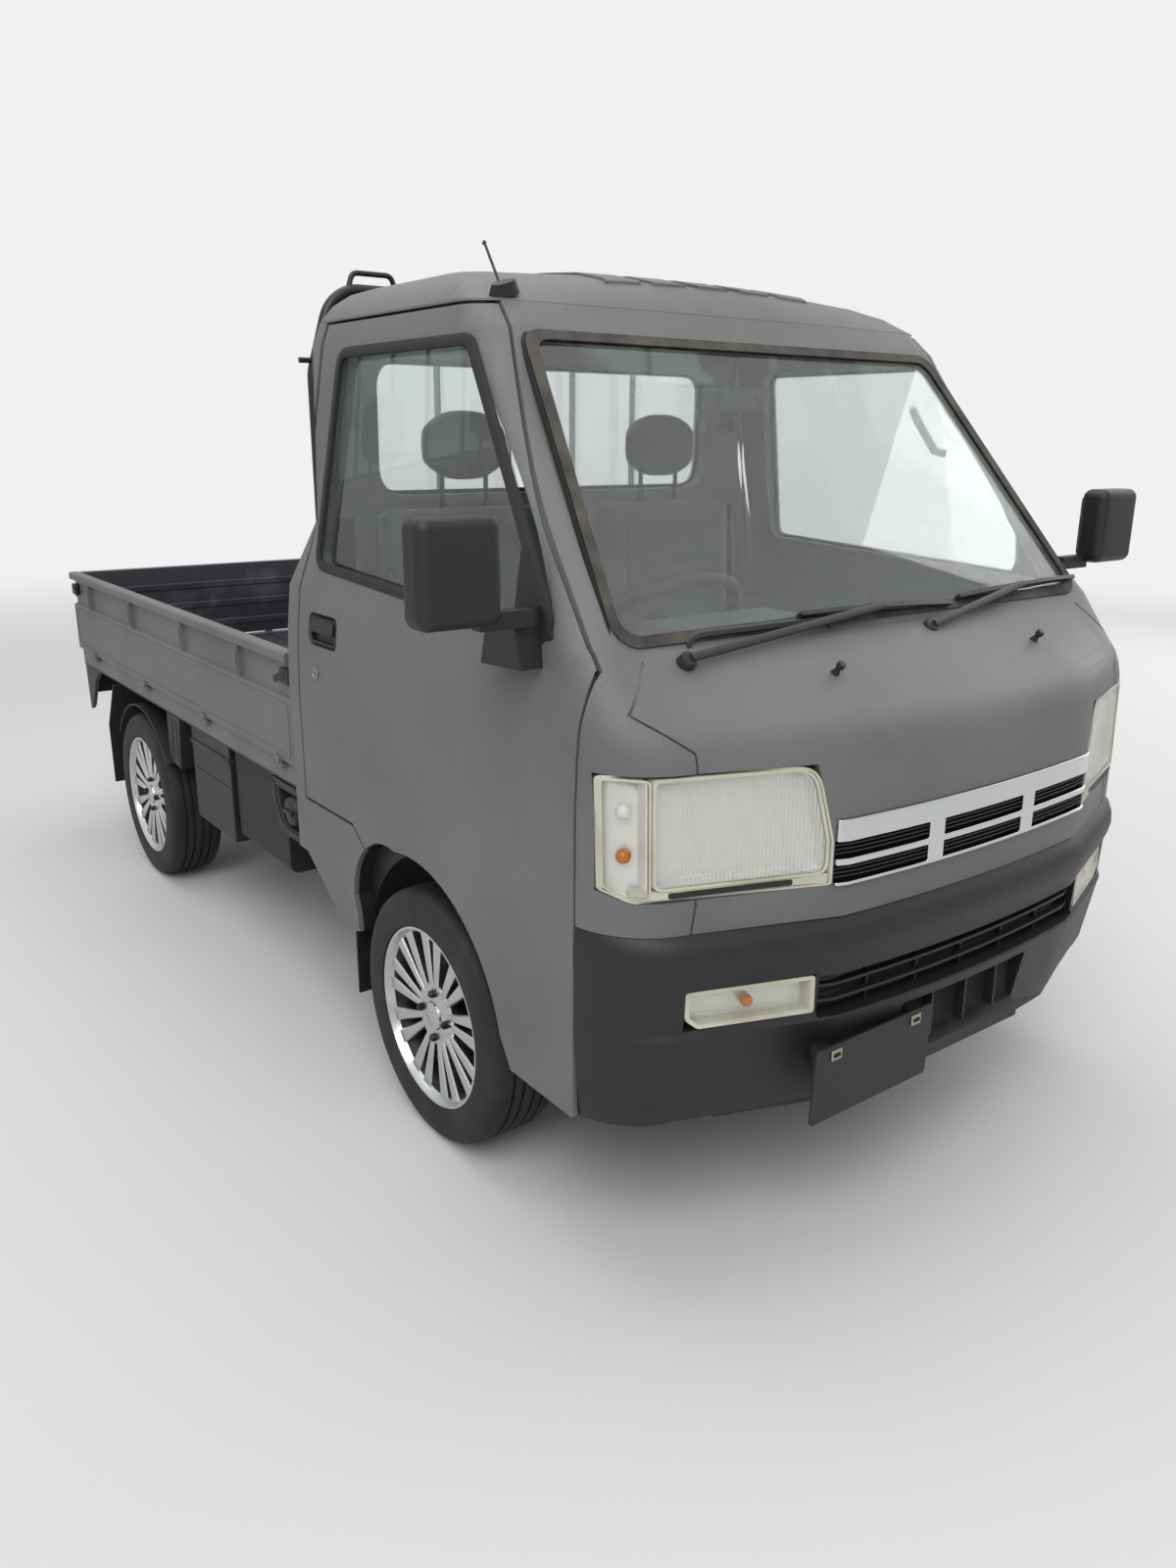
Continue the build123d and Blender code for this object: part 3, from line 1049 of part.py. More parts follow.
CORNER_SKIRT = (
    (1490, SILL_Z[0] - SEAT_GAP), (1679, SILL_Z[0] - SEAT_GAP), (1668, 436), (1640, 452), (1560, 560),
)
FRONT_FLAP_Y = (-572.0, -567.0)
FRONT_FLAP_Z = (186.0, 340.0)
FRONT_FLAP_X = 724.0
with BuildPart() as rear_fenders:
    for s in (-1, 1):
        with BuildPart(mode=Mode.PRIVATE) as arch:
            add(bar_x(FENDER_RADIUS + GUARD_SHEET, s * FENDER_INNER_X, s * FENDER_X,
                      REAR_AXLE_Y, TYRE_RADIUS))
            add(bar_x(FENDER_RADIUS, s * (FENDER_INNER_X - 10), s * FAR, REAR_AXLE_Y, TYRE_RADIUS),
                mode=Mode.SUBTRACT)
            add(block(-FAR, FAR, 0, FAR, -FAR, FENDER_BOTTOM_Z), mode=Mode.SUBTRACT)
        add(arch.part)
        add(side_prism(FLAP_UPPER, s * FLAP_INNER_X, s * (SILL_X - SILL_WIDTH - 1)))
        add(side_prism(FLAP_LOWER, s * FLAP_X, s * FENDER_X))
        add(block(s * FENDER_POST_X[0], s * FENDER_POST_X[1], REAR_AXLE_Y - 30, REAR_AXLE_Y + 30,
                  FENDER_POST_Z, FLOOR_UNDER_Z - SEAT_GAP))
        add(side_prism(FENDER_FRONT, s * FLAP_INNER_X, s * (SILL_X - 3)))
        add(side_prism(CORNER_SKIRT, s * SKIRT_X[0], s * SKIRT_X[1]))
        add(block(s * FLAP_INNER_X, s * (INNER_SIDE_X - SEAT_GAP), *FRONT_FLAP_Y,
                  FRONT_FLAP_Z[0], UNDERFLOOR_Z - SEAT_GAP))
        add(block(s * FLAP_X, s * FRONT_FLAP_X, *FRONT_FLAP_Y, *FRONT_FLAP_Z))
rear_fenders.part.label = "rear_fenders"
export_step(rear_fenders.part, "parts/rear_fenders.step")

TAIL_LAMP_X = (470.0, 700.0)
TAIL_LAMP_Y = (BED_REAR_Y - 60, BED_REAR_Y - 14)
TAIL_LAMP_Z = 500.0
with BuildPart() as tail_lamps:
    for s in (-1, 1):
        add(block(s * TAIL_LAMP_X[0], s * TAIL_LAMP_X[1], *TAIL_LAMP_Y,
                  TAIL_LAMP_Z, SILL_Z[0] - SEAT_GAP))
tail_lamps.part.label = "tail_lamps"
export_step(tail_lamps.part, "parts/tail_lamps.step")

# Under the bed: battery, fuel tank with its filler, spare wheel, exhaust and engine
BATTERY_BOX = (-700.0, -490.0, 252.0, 566.0, 310.0, SILL_Z[0] - SEAT_GAP)
with BuildPart() as battery_box:
    add(block(*BATTERY_BOX))
battery_box.part.label = "battery_box"
export_step(battery_box.part, "parts/battery_box.step")

FUEL_TANK = (-690.0, -400.0, -120.0, 232.0, 330.0, SILL_Z[0] - SEAT_GAP)
TANK_CORNER = 24.0
FILLER_FRAME = ((-294, 603), (-112, 603), (-118, 530), (-148, 484), (-200, 466), (-294, 466))
FILLER_HOLE = ((-300, 582), (-150, 582), (-156, 530), (-178, 500), (-210, 490), (-300, 490))
FILLER_X = (-600.0, -690.0, -720.0)
FILLER_CAP = (34.0, -236.0, 540.0)
with BuildPart() as fuel_tank:
    add(block(*FUEL_TANK))
    fillet(fuel_tank.edges().filter_by(Axis.Y), TANK_CORNER)
    add(side_prism(FILLER_FRAME, FILLER_X[0], FILLER_X[2]))
    add(side_prism(FILLER_HOLE, FILLER_X[1], -FAR), mode=Mode.SUBTRACT)
    add(bar_x(FILLER_CAP[0], FILLER_X[1], FILLER_X[2] + 6, *FILLER_CAP[1:]))
fuel_tank.part.label = "fuel_tank"
export_step(fuel_tank.part, "parts/fuel_tank.step")

SPARE_Y = 1380.0
SPARE_Z = (352.0, 466.0)
SPARE_HUB_RADIUS = 100.0
SPARE_DISC_Z = (400.0, 440.0)
SPARE_PIN = (12.0, 420.0, 487.0)
with BuildPart() as spare_wheel:
    add(bar_z(TYRE_RADIUS - 10.5, *SPARE_Z, 0, SPARE_Y))
    add(bar_z(SPARE_HUB_RADIUS, SPARE_Z[0] - 12, SPARE_Z[1] + 14, 0, SPARE_Y), mode=Mode.SUBTRACT)
    add(bar_z(SPARE_HUB_RADIUS, *SPARE_DISC_Z, 0, SPARE_Y))
    add(bar_z(SPARE_PIN[0], SPARE_PIN[1], SPARE_PIN[2] - SEAT_GAP, 0, SPARE_Y))
spare_wheel.part.label = "spare_wheel"
export_step(spare_wheel.part, "parts/spare_wheel.step")

# Exhaust: radius and lengthwise span of the pipe, the silencer and the tail pipe
EXHAUST_RUN = ((24.0, ENGINE_REAR_Y + SEAT_GAP, 420.0), (75.0, 380.0, 760.0), (20.0, 740.0, 860.0))
EXHAUST_SPOT = (160.0, 330.0)
with BuildPart() as exhaust:
    for radius, y0, y1 in EXHAUST_RUN:
        add(bar_y(radius, y0, y1, *EXHAUST_SPOT))
exhaust.part.label = "exhaust"
export_step(exhaust.part, "parts/exhaust.step")

ENGINE_X = 190.0
ENGINE_FRONT_Y = -1090.0
ENGINE_Z = (300.0, 590.0)
MOUNT_Y = (-1020.0, -560.0)
MOUNT_HALF = 25.0
MOUNT_Z = (440.0, 490.0)
MOUNT_X = RAIL_X - RAIL_WIDTH / 2 - SEAT_GAP
with BuildPart() as engine:
    add(block(-ENGINE_X, ENGINE_X, ENGINE_FRONT_Y, ENGINE_REAR_Y, *ENGINE_Z))
    for y in MOUNT_Y:
        add(block(-MOUNT_X, MOUNT_X, y - MOUNT_HALF, y + MOUNT_HALF, *MOUNT_Z))
engine.part.label = "engine"
export_step(engine.part, "parts/engine.step")

# Inside the cab
DASH_PROFILE = (
    (-1500, 1040), (-1445, 1062), (-1330, 1058), (-1290, 1020), (-1290, 880), (-1340, 800),
    (-1590, 790), (-1590, 960),
)
DASH_X = 680.0
COLUMN_AXIS = (0.0, 0.6, 0.8)
COLUMN_RADIUS = 34.0
COLUMN_SPAN = (-350.0, -40.0)
WHEEL_CENTRE = (-330.0, -1120.0, 1075.0)
with BuildPart() as dashboard:
    with BuildPart(mode=Mode.PRIVATE) as dash:
        add(side_prism(DASH_PROFILE, -DASH_X, DASH_X))
        add(cab_form(WALL + SEAT_GAP), mode=Mode.INTERSECT)
    add(dash.part)
    with BuildSketch(Plane(origin=WHEEL_CENTRE, z_dir=COLUMN_AXIS).offset(COLUMN_SPAN[0])):
        Circle(COLUMN_RADIUS)
    extrude(amount=COLUMN_SPAN[1] - COLUMN_SPAN[0])
dashboard.part.label = "dashboard"
export_step(dashboard.part, "parts/dashboard.step")

# Steering wheel: the parts of its boss lie between two distances along the column
BOSS_NECK = (26.0, -40.0 + SEAT_GAP, -10.0 + SEAT_GAP)
BOSS_PAD = (52.0, -16.0, 8.0)
SPOKE_DEPTH = (-8.0, 6.0)
CROSS_SPOKE = 344.0
SPOKE_BAR = 34.0
LOWER_SPOKE = 170.0
WHEEL_RING = 178.0
WHEEL_GRIP = 13.0
with BuildPart() as steering_wheel:
    wheel_plane = Plane(origin=WHEEL_CENTRE, x_dir=(1, 0, 0), z_dir=COLUMN_AXIS)
    for radius, start, end in (BOSS_NECK, BOSS_PAD):
        with BuildSketch(wheel_plane.offset(start)):
            Circle(radius)
        extrude(amount=end - start)
    with BuildSketch(wheel_plane.offset(SPOKE_DEPTH[0])):
        Rectangle(CROSS_SPOKE, SPOKE_BAR)
        with Locations((0, -LOWER_SPOKE / 2 - 5)):
            Rectangle(SPOKE_BAR, LOWER_SPOKE)
    extrude(amount=SPOKE_DEPTH[1] - SPOKE_DEPTH[0])
    grip_axis = Vector(*COLUMN_AXIS).cross(Vector(1, 0, 0))
    with BuildSketch(Plane(origin=WHEEL_CENTRE, x_dir=(1, 0, 0), z_dir=grip_axis)):
        with Locations((WHEEL_RING, 0)):
            Circle(WHEEL_GRIP)
    revolve(axis=Axis(WHEEL_CENTRE, COLUMN_AXIS))
steering_wheel.part.label = "steering_wheel"
export_step(steering_wheel.part, "parts/steering_wheel.step")

SEAT_X = 300.0
SEAT_WIDTH = 480.0
SEAT_Y = (-1020.0, -480.0)
SEAT_TOP_Z = 770.0
SEAT_CORNER = 30.0
seat_x = (SEAT_X - SEAT_WIDTH / 2, SEAT_X + SEAT_WIDTH / 2)
with BuildPart() as seat_cushions:
    for s in (-1, 1):
        add(block(s * seat_x[0], s * seat_x[1], *SEAT_Y, FLOOR_Z + SEAT_GAP, SEAT_TOP_Z))
    fillet(seat_cushions.edges().filter_by(Axis.X), SEAT_CORNER)
seat_cushions.part.label = "seat_cushions"
export_step(seat_cushions.part, "parts/seat_cushions.step")

BACK_PROFILE = ((-476, 665), (-356, 665), (-344.3, 1270), (-440, 1290))
HEADREST_HALF = 115.0
HEADREST_Y = (-424.0, -352.0)
HEADREST_Z = (1322.0, 1488.0)
HEADREST_POST = (7.0, 1260.0, 1330.0)
HEADREST_POST_X = 60.0
with BuildPart() as seat_backs:
    for s in (-1, 1):
        add(side_prism(BACK_PROFILE, s * seat_x[0], s * seat_x[1]))
        add(block(s * (SEAT_X - HEADREST_HALF), s * (SEAT_X + HEADREST_HALF), *HEADREST_Y, *HEADREST_Z))
        for x in (SEAT_X - HEADREST_POST_X, SEAT_X + HEADREST_POST_X):
            add(bar_z(*HEADREST_POST, s * x, sum(HEADREST_Y) / 2 + 2))
seat_backs.part.label = "seat_backs"
export_step(seat_backs.part, "parts/seat_backs.step")
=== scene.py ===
"""Looks of a grey kei truck with a drop-side bed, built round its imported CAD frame."""

import json
from math import cos, pi, radians, sin, tan

import bmesh
import bpy
from mathutils import Matrix, Vector


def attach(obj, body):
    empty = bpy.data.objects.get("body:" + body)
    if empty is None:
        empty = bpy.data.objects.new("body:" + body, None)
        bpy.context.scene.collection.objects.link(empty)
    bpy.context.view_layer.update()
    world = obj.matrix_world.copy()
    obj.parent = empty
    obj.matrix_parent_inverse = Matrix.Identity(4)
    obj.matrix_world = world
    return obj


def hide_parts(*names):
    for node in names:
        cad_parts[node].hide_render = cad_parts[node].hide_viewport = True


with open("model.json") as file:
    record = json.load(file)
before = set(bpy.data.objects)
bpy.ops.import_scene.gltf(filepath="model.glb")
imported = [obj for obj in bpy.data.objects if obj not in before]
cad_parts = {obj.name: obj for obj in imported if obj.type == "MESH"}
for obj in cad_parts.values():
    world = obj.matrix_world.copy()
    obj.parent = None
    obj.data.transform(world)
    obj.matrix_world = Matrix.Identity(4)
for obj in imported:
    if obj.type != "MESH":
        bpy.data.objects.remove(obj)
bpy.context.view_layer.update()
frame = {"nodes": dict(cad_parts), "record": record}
nodes = frame["nodes"]
scene = bpy.context.scene
MM = 0.001

# Studio: a pale floor under even, soft light, and the camera where the photographer stood.
# The world is white to the camera and to reflections, and gives the soft sky light.
# Far from the truck the floor fades into the backdrop.
CAMERA_SPOT = Vector((-1756.8, -2831.7, 1431.9)) * MM
CAMERA_YAW = radians(36.789)
CAMERA_PITCH = radians(16.834)
CAMERA_ROLL = radians(0.408)
CAMERA_LENS = 26.54
CAMERA_REACH = (0.05, 200.0)
FLOOR_SIZE = 60.0
FLOOR_FADE = (3.2, 11.0)
SKY_LIGHT = 0.58
BACKDROP = "#f0f1f2"
LAMP_AIM = Vector((0, 0, 0.8))
LAMPS = (  # name, place and size in metres, power in watts
    ("key", (-4.5, -5.0, 6.5), 5.0, 330.0),
    ("fill", (6.5, -0.5, 3.2), 5.0, 120.0),
    ("top", (0.0, 1.0, 7.0), 6.0, 170.0),
)


def tone(hex_code):
    """Linear colour of an sRGB hex code."""
    parts = [int(hex_code[i:i + 2], 16) / 255 for i in (1, 3, 5)]
    return tuple(p / 12.92 if p <= 0.04045 else ((p + 0.055) / 1.055) ** 2.4 for p in parts) + (1.0,)


def add_node(tree, kind, links=None, **settings):
    """New node with its settings, and its inputs set or linked by name or number."""
    made = tree.nodes.new(kind)
    for name, value in settings.items():
        setattr(made, name, value)
    for name, source in (links or {}).items():
        if isinstance(source, bpy.types.NodeSocket):
            tree.links.new(source, made.inputs[name])
        else:
            made.inputs[name].default_value = source
    return made


def new_material(name, colour, roughness, metallic=0.0, **sockets):
    """Material with one Principled shader, its tree and that shader."""
    material = bpy.data.materials.new(name)
    material.use_nodes = True
    tree = material.node_tree
    shader = tree.nodes["Principled BSDF"]
    shader.inputs["Base Color"].default_value = tone(colour)
    shader.inputs["Roughness"].default_value = roughness
    shader.inputs["Metallic"].default_value = metallic
    for socket, value in sockets.items():
        shader.inputs[socket.replace("_", " ")].default_value = value
    return material, tree, shader


def grain(tree, shader, size, depth, detail=3.0, low=None, high=None):
    """Noise bump with a grain size and depth in millimetres, and a roughness that follows it."""
    place = add_node(tree, "ShaderNodeTexCoord")
    noise = add_node(tree, "ShaderNodeTexNoise", {
        "Vector": place.outputs["Object"], "Scale": 1 / (size * MM), "Detail": detail})
    bump = add_node(tree, "ShaderNodeBump", {
        "Height": noise.outputs["Fac"], "Distance": depth * MM, "Strength": 1.0})
    tree.links.new(bump.outputs["Normal"], shader.inputs["Normal"])
    if low is not None:
        rough = add_node(tree, "ShaderNodeMapRange", {
            "Value": noise.outputs["Fac"], "To Min": low, "To Max": high})
        tree.links.new(rough.outputs["Result"], shader.inputs["Roughness"])
    return place


view_right = Vector((cos(CAMERA_YAW), -sin(CAMERA_YAW), 0))
view_ahead = Vector((
    sin(CAMERA_YAW) * cos(CAMERA_PITCH), cos(CAMERA_YAW) * cos(CAMERA_PITCH), -sin(CAMERA_PITCH),
))
view_up = view_right.cross(view_ahead)
turned_right = view_right * cos(CAMERA_ROLL) + view_up * sin(CAMERA_ROLL)
turned_up = view_up * cos(CAMERA_ROLL) - view_right * sin(CAMERA_ROLL)
camera_turn = Matrix((turned_right, turned_up, -view_ahead)).transposed().to_4x4()
camera = bpy.data.objects.new("camera", bpy.data.cameras.new("camera"))
camera.data.lens = CAMERA_LENS
camera.data.clip_start, camera.data.clip_end = CAMERA_REACH
camera.matrix_world = Matrix.Translation(CAMERA_SPOT) @ camera_turn
scene.collection.objects.link(camera)
scene.camera = camera
scene.view_settings.view_transform = "Standard"

world = bpy.data.worlds.new("studio")
world.use_nodes = True
scene.world = world
sky = world.node_tree
rays = add_node(sky, "ShaderNodeLightPath")
seen = add_node(sky, "ShaderNodeMath", {
    0: rays.outputs["Is Camera Ray"], 1: rays.outputs["Is Transmission Ray"]}, operation="MAXIMUM")
place = add_node(sky, "ShaderNodeTexCoord")
height = add_node(sky, "ShaderNodeSeparateXYZ", {"Vector": place.outputs["Generated"]})
dome = add_node(sky, "ShaderNodeMapRange", {
    "Value": height.outputs["Z"], "From Min": -0.1, "From Max": 0.7, "To Min": 0.55, "To Max": 1.0})
mirror_level = add_node(sky, "ShaderNodeMath", {
    0: rays.outputs["Is Glossy Ray"], 1: dome.outputs["Result"]}, operation="MULTIPLY")
shown = add_node(sky, "ShaderNodeMath", {
    0: seen.outputs[0], 1: mirror_level.outputs[0]}, operation="MAXIMUM")
level = add_node(sky, "ShaderNodeMath", {0: shown.outputs[0], 1: SKY_LIGHT}, operation="MAXIMUM")
background = sky.nodes["Background"]
background.inputs["Color"].default_value = tone(BACKDROP)
sky.links.new(level.outputs[0], background.inputs["Strength"])

for name, spot, size, power in LAMPS:
    lamp = bpy.data.lights.new(name, "AREA")
    lamp.size = size
    lamp.energy = power
    lamp_object = bpy.data.objects.new(name, lamp)
    lamp_object.location = spot
    lamp_object.rotation_euler = (LAMP_AIM - Vector(spot)).to_track_quat("-Z", "Y").to_euler()
    scene.collection.objects.link(lamp_object)

floor_mesh = bpy.data.meshes.new("studio_floor")
half = FLOOR_SIZE / 2
floor_corners = [(-half, -half, 0), (half, -half, 0), (half, half, 0), (-half, half, 0)]
floor_mesh.from_pydata(floor_corners, [], [(0, 1, 2, 3)])
floor = bpy.data.objects.new("studio_floor", floor_mesh)
scene.collection.objects.link(floor)
floor_paint, tree, shader = new_material("matt_studio_floor", "#dcdcda", 0.9)
place = grain(tree, shader, 4, 0.2)
far = add_node(tree, "ShaderNodeVectorMath", {0: place.outputs["Object"]}, operation="LENGTH")
fade = add_node(tree, "ShaderNodeMapRange", {
    "Value": far.outputs["Value"], "From Min": FLOOR_FADE[0], "From Max": FLOOR_FADE[1],
}, interpolation_type="SMOOTHSTEP")
rays = add_node(tree, "ShaderNodeLightPath")
seen = add_node(tree, "ShaderNodeMath", {
    0: fade.outputs["Result"], 1: rays.outputs["Is Camera Ray"]}, operation="MULTIPLY")
glow = add_node(tree, "ShaderNodeEmission", {"Color": tone(BACKDROP)})
faded = add_node(tree, "ShaderNodeMixShader", {
    0: seen.outputs[0], 1: shader.outputs[0], 2: glow.outputs[0]})
tree.links.new(faded.outputs[0], tree.nodes["Material Output"].inputs["Surface"])
floor_mesh.materials.append(floor_paint)

# Cab panels: pressed steel sprayed with a matt grey textured coating, which dries to a fine
# orange-peel grain, so that the light breaks up softly on it. The grain is about 1.5 mm; it is
# drawn at 3.6 mm so that it shows. Inner faces below the floor line are coated in underseal.
COATING_GRAIN = 3.6
COATING_DEPTH = 1.0
UNDERSEAL_INSIDE = 0.7225
UNDERSEAL_BELOW = 0.612


def mottle(tree, shader, place, scale, detail, spread, dark, light, **noise_inputs):
    """Base colour that drifts between two tones by a wide, soft noise."""
    cloud = add_node(tree, "ShaderNodeTexNoise", {
        "Vector": place.outputs["Object"], "Scale": scale, "Detail": detail, **noise_inputs})
    shade = add_node(tree, "ShaderNodeMapRange", {
        "Value": cloud.outputs["Fac"], "From Min": spread[0], "From Max": spread[1]})
    mixed = add_node(tree, "ShaderNodeMix", {
        "Factor": shade.outputs["Result"], "A": tone(dark), "B": tone(light)}, data_type="RGBA")
    tree.links.new(mixed.outputs["Result"], shader.inputs["Base Color"])
    return mixed


textured_grey, tree, shader = new_material("textured_grey_coating", "#747678", 0.5)
place = grain(tree, shader, COATING_GRAIN, COATING_DEPTH, 2.0, 0.40, 0.62)
paint = mottle(tree, shader, place, 3.2, 4.0, (0.3, 0.7), "#626363", "#6f7070")
where = add_node(tree, "ShaderNodeSeparateXYZ", {"Vector": place.outputs["Object"]})
half_width = add_node(tree, "ShaderNodeMath", {0: where.outputs["X"]}, operation="ABSOLUTE")
inside = add_node(tree, "ShaderNodeMath", {
    0: half_width.outputs[0], 1: UNDERSEAL_INSIDE}, operation="LESS_THAN")
low_down = add_node(tree, "ShaderNodeMath", {
    0: where.outputs["Z"], 1: UNDERSEAL_BELOW}, operation="LESS_THAN")
coated = add_node(tree, "ShaderNodeMath", {
    0: inside.outputs[0], 1: low_down.outputs[0]}, operation="MULTIPLY")
finish = add_node(tree, "ShaderNodeMix", {
    "Factor": coated.outputs[0], "A": paint.outputs["Result"], "B": tone("#1d1c1b")}, data_type="RGBA")
tree.links.new(finish.outputs["Result"], shader.inputs["Base Color"])


def smooth_between(bm, crease):
    """Smooth faces, with each edge sharper than the crease angle kept sharp."""
    for one in bm.edges:
        one.smooth = one.calc_face_angle(0.0) < radians(crease)
    for face in bm.faces:
        face.smooth = True


def plain_mesh(bm, name):
    """Mesh from a drawn shape, which is then freed."""
    mesh = bpy.data.meshes.new(name)
    bm.to_mesh(mesh)
    bm.free()
    return mesh


def dress(node_name, piece_name, material, body="chassis", crease=30.0, edge=0.0, clamp=True):
    """Copy of a CAD node in its finish, with its edges rounded in millimetres, in the node's place."""
    bm = bmesh.new()
    bm.from_mesh(nodes[node_name].data)
    bmesh.ops.remove_doubles(bm, verts=bm.verts, dist=0.02 * MM)
    bmesh.ops.dissolve_limit(bm, angle_limit=radians(0.4), verts=bm.verts, edges=bm.edges)
    smooth_between(bm, crease)
    piece = bpy.data.objects.new(piece_name, plain_mesh(bm, piece_name))
    scene.collection.objects.link(piece)
    if edge:
        bevel = piece.modifiers.new("soft_edge", "BEVEL")
        bevel.width = edge * MM
        bevel.segments = 2
        bevel.limit_method = "ANGLE"
        bevel.angle_limit = radians(crease)
        bevel.harden_normals = True
        bevel.use_clamp_overlap = clamp
    piece.data.materials.clear()
    piece.data.materials.append(material)
    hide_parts(node_name)
    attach(piece, body)
    return piece


PANEL_EDGE = 1.6
CLOSE_EDGED_PANELS = ("nose_panel", "cab_body")
panels = {}
for node_name, body in (
    ("nose_panel", "chassis"), ("cab_body", "chassis"), ("roof_panel", "chassis"),
    ("cab_back_panel", "chassis"), ("door_right", "door_right"), ("door_left", "door_left"),
    ("side_gate_right", "side_gate_right"), ("side_gate_left", "side_gate_left"), ("tailgate", "tailgate"),
):
    panels[node_name] = dress(node_name, "pressed_" + node_name, textured_grey, body,
                              crease=28.0, edge=PANEL_EDGE, clamp=node_name in CLOSE_EDGED_PANELS)

# Doorways: the thin web of the cab's inner wall that crosses each doorway at the belt is cut out
# of the pressed cab, so that the seats and the dashboard show when a door is open.
DOORWAY_BELT = ((-352.5, 1060), (-1350, 1060), (-1211, 1264), (-352.5, 1264))
DOORWAY_DEPTH = (640, 712)
bm = bmesh.new()
for s in (-1, 1):
    near, far = [[bm.verts.new(Vector((s * x, y, z)) * MM) for y, z in DOORWAY_BELT] for x in DOORWAY_DEPTH]
    bm.faces.new(near)
    bm.faces.new(far)
    for k in range(len(DOORWAY_BELT)):
        bm.faces.new((near[k], near[k - 1], far[k - 1], far[k]))
bmesh.ops.recalc_face_normals(bm, faces=bm.faces)
web = bpy.data.objects.new("doorway_web", plain_mesh(bm, "doorway_web"))
scene.collection.objects.link(web)
cab = panels["cab_body"]
rounding = cab.modifiers["soft_edge"]
rounding.show_viewport = False
opened = cab.modifiers.new("doorways", "BOOLEAN")
opened.object = web
opened.solver = "EXACT"
open_cab = cab.evaluated_get(bpy.context.evaluated_depsgraph_get())
cab_mesh = bpy.data.meshes.new_from_object(open_cab)
cab.modifiers.remove(opened)
cab.data = cab_mesh
rounding.show_viewport = True
bpy.data.objects.remove(web)

# Windscreen: laminated glass held in a thick extruded rubber seal, gone grey-brown with age.
# Door and rear panes are toughened float glass. A pane lets most light straight through, with a
# faint green tint; the rubber is dull, in brown and grey streaks.
laminated_glass, tree, shader = new_material(
    "laminated_float_glass", "#a4c8bf", 0.02,
    Transmission_Weight=1.0, IOR=1.45, Alpha=0.2, Specular_IOR_Level=0.1,
)
place = add_node(tree, "ShaderNodeTexCoord")
dust = add_node(tree, "ShaderNodeTexNoise", {"Vector": place.outputs["Object"], "Scale": 7.0, "Detail": 5.0})
film = add_node(tree, "ShaderNodeMapRange", {"Value": dust.outputs["Fac"], "To Min": 0.0, "To Max": 0.02})
tree.links.new(film.outputs["Result"], shader.inputs["Roughness"])
for node_name, body in (
    ("windscreen", "chassis"), ("rear_window", "chassis"),
    ("door_glass_right", "door_right"), ("door_glass_left", "door_left"),
):
    dress(node_name, "pane_" + node_name, laminated_glass, body, crease=40)
weathered_rubber, tree, shader = new_material("weathered_extruded_rubber", "#5b5650", 0.8)
place = grain(tree, shader, 2.0, 0.15, 4.0, 0.7, 0.9)
mottle(tree, shader, place, 14.0, 5.0, (0.35, 0.65), "#33312f", "#575149")
dress("windscreen_seal", "windscreen_seal_rubber", weathered_rubber, edge=1.2, clamp=False)

# Seals and channels: black rubber run channels round the door windows with a sail at the mirror,
# a bead that beds the windscreen, and the fixed bead of the rear window. Matt black to the eye.
# The channels lie on the flank, whose half-width at a height follows the cab's levels.
SIDES = (("right", -1), ("left", 1))
SCREEN_FOOT = (-1425, 1102)
SCREEN_HEAD = (-1019, 1611)
RISE = Vector((0, SCREEN_HEAD[0] - SCREEN_FOOT[0], SCREEN_HEAD[1] - SCREEN_FOOT[1])).normalized()
OUTWARD = Vector((0, -RISE.z, RISE.y))
FLANK = (  # z and half-width
    (300, 734), (861, 734), (940, 731), (990, 728), (1006, 727), (1102, 716),
    (1611, 632), (1662, 613), (1694, 585),
)


def on_screen(x, along, lift):
    """Point on the windscreen: x, distance up the slope and lift off the glass."""
    return Vector((x, *SCREEN_FOOT)) + RISE * along + OUTWARD * lift


def between(levels, z):
    """Values of a table of levels at a height, from its two nearest rows."""
    for low, high in zip(levels, levels[1:]):
        if z <= high[0] or high is levels[-1]:
            share = min(max((z - low[0]) / (high[0] - low[0]), 0.0), 1.0)
            return [a + share * (b - a) for a, b in zip(low[1:], high[1:])]


def flank(s):
    """Surface of side s: a point from y, z and a lift off the metal."""
    return lambda y, z, lift: Vector((s * (between(FLANK, z)[0] + lift), y, z))


def rectangle(left, low, right, high):
    """Corners of an upright rectangle."""
    return ((left, low), (right, low), (right, high), (left, high))


def rounded(corners, radius, steps=6):
    """Outline with each corner rounded; a corner may carry its own radius."""
    points = []
    for i, corner in enumerate(corners):
        here = Vector(corner[:2])
        before = (Vector(corners[i - 1][:2]) - here).normalized()
        after = (Vector(corners[(i + 1) % len(corners)][:2]) - here).normalized()
        reach = (corner[2] if len(corner) > 2 else radius) / tan(before.angle(after) / 2)
        for k in range(steps + 1):
            t = k / steps
            points.append(here + before * reach * (1 - t) ** 2 + after * reach * t ** 2)
    return points


def inset(outline, amount):
    """Outline moved inwards, point by point."""
    area = sum(a.x * b.y - b.x * a.y for a, b in zip(outline, outline[1:] + outline[:1]))
    moved = []
    for i, here in enumerate(outline):
        along = (outline[(i + 1) % len(outline)] - outline[i - 1]).normalized()
        inward = Vector((-along.y, along.x)) * (1 if area > 0 else -1)
        moved.append(here + inward * amount)
    return moved


def bar(foot, low, high, top=None):
    """Profile of a flat bar, or a tapered rib: half-widths at its foot and top, and two heights."""
    top = foot if top is None else top
    return ((-foot, low), (-top, high), (top, high), (foot, low))


def skin(bm, first, second, closed=True):
    """Faces between two rows of points."""
    count = len(first)
    for i in range(count if closed else count - 1):
        bm.faces.new((first[i], first[(i + 1) % count], second[(i + 1) % count], second[i]))


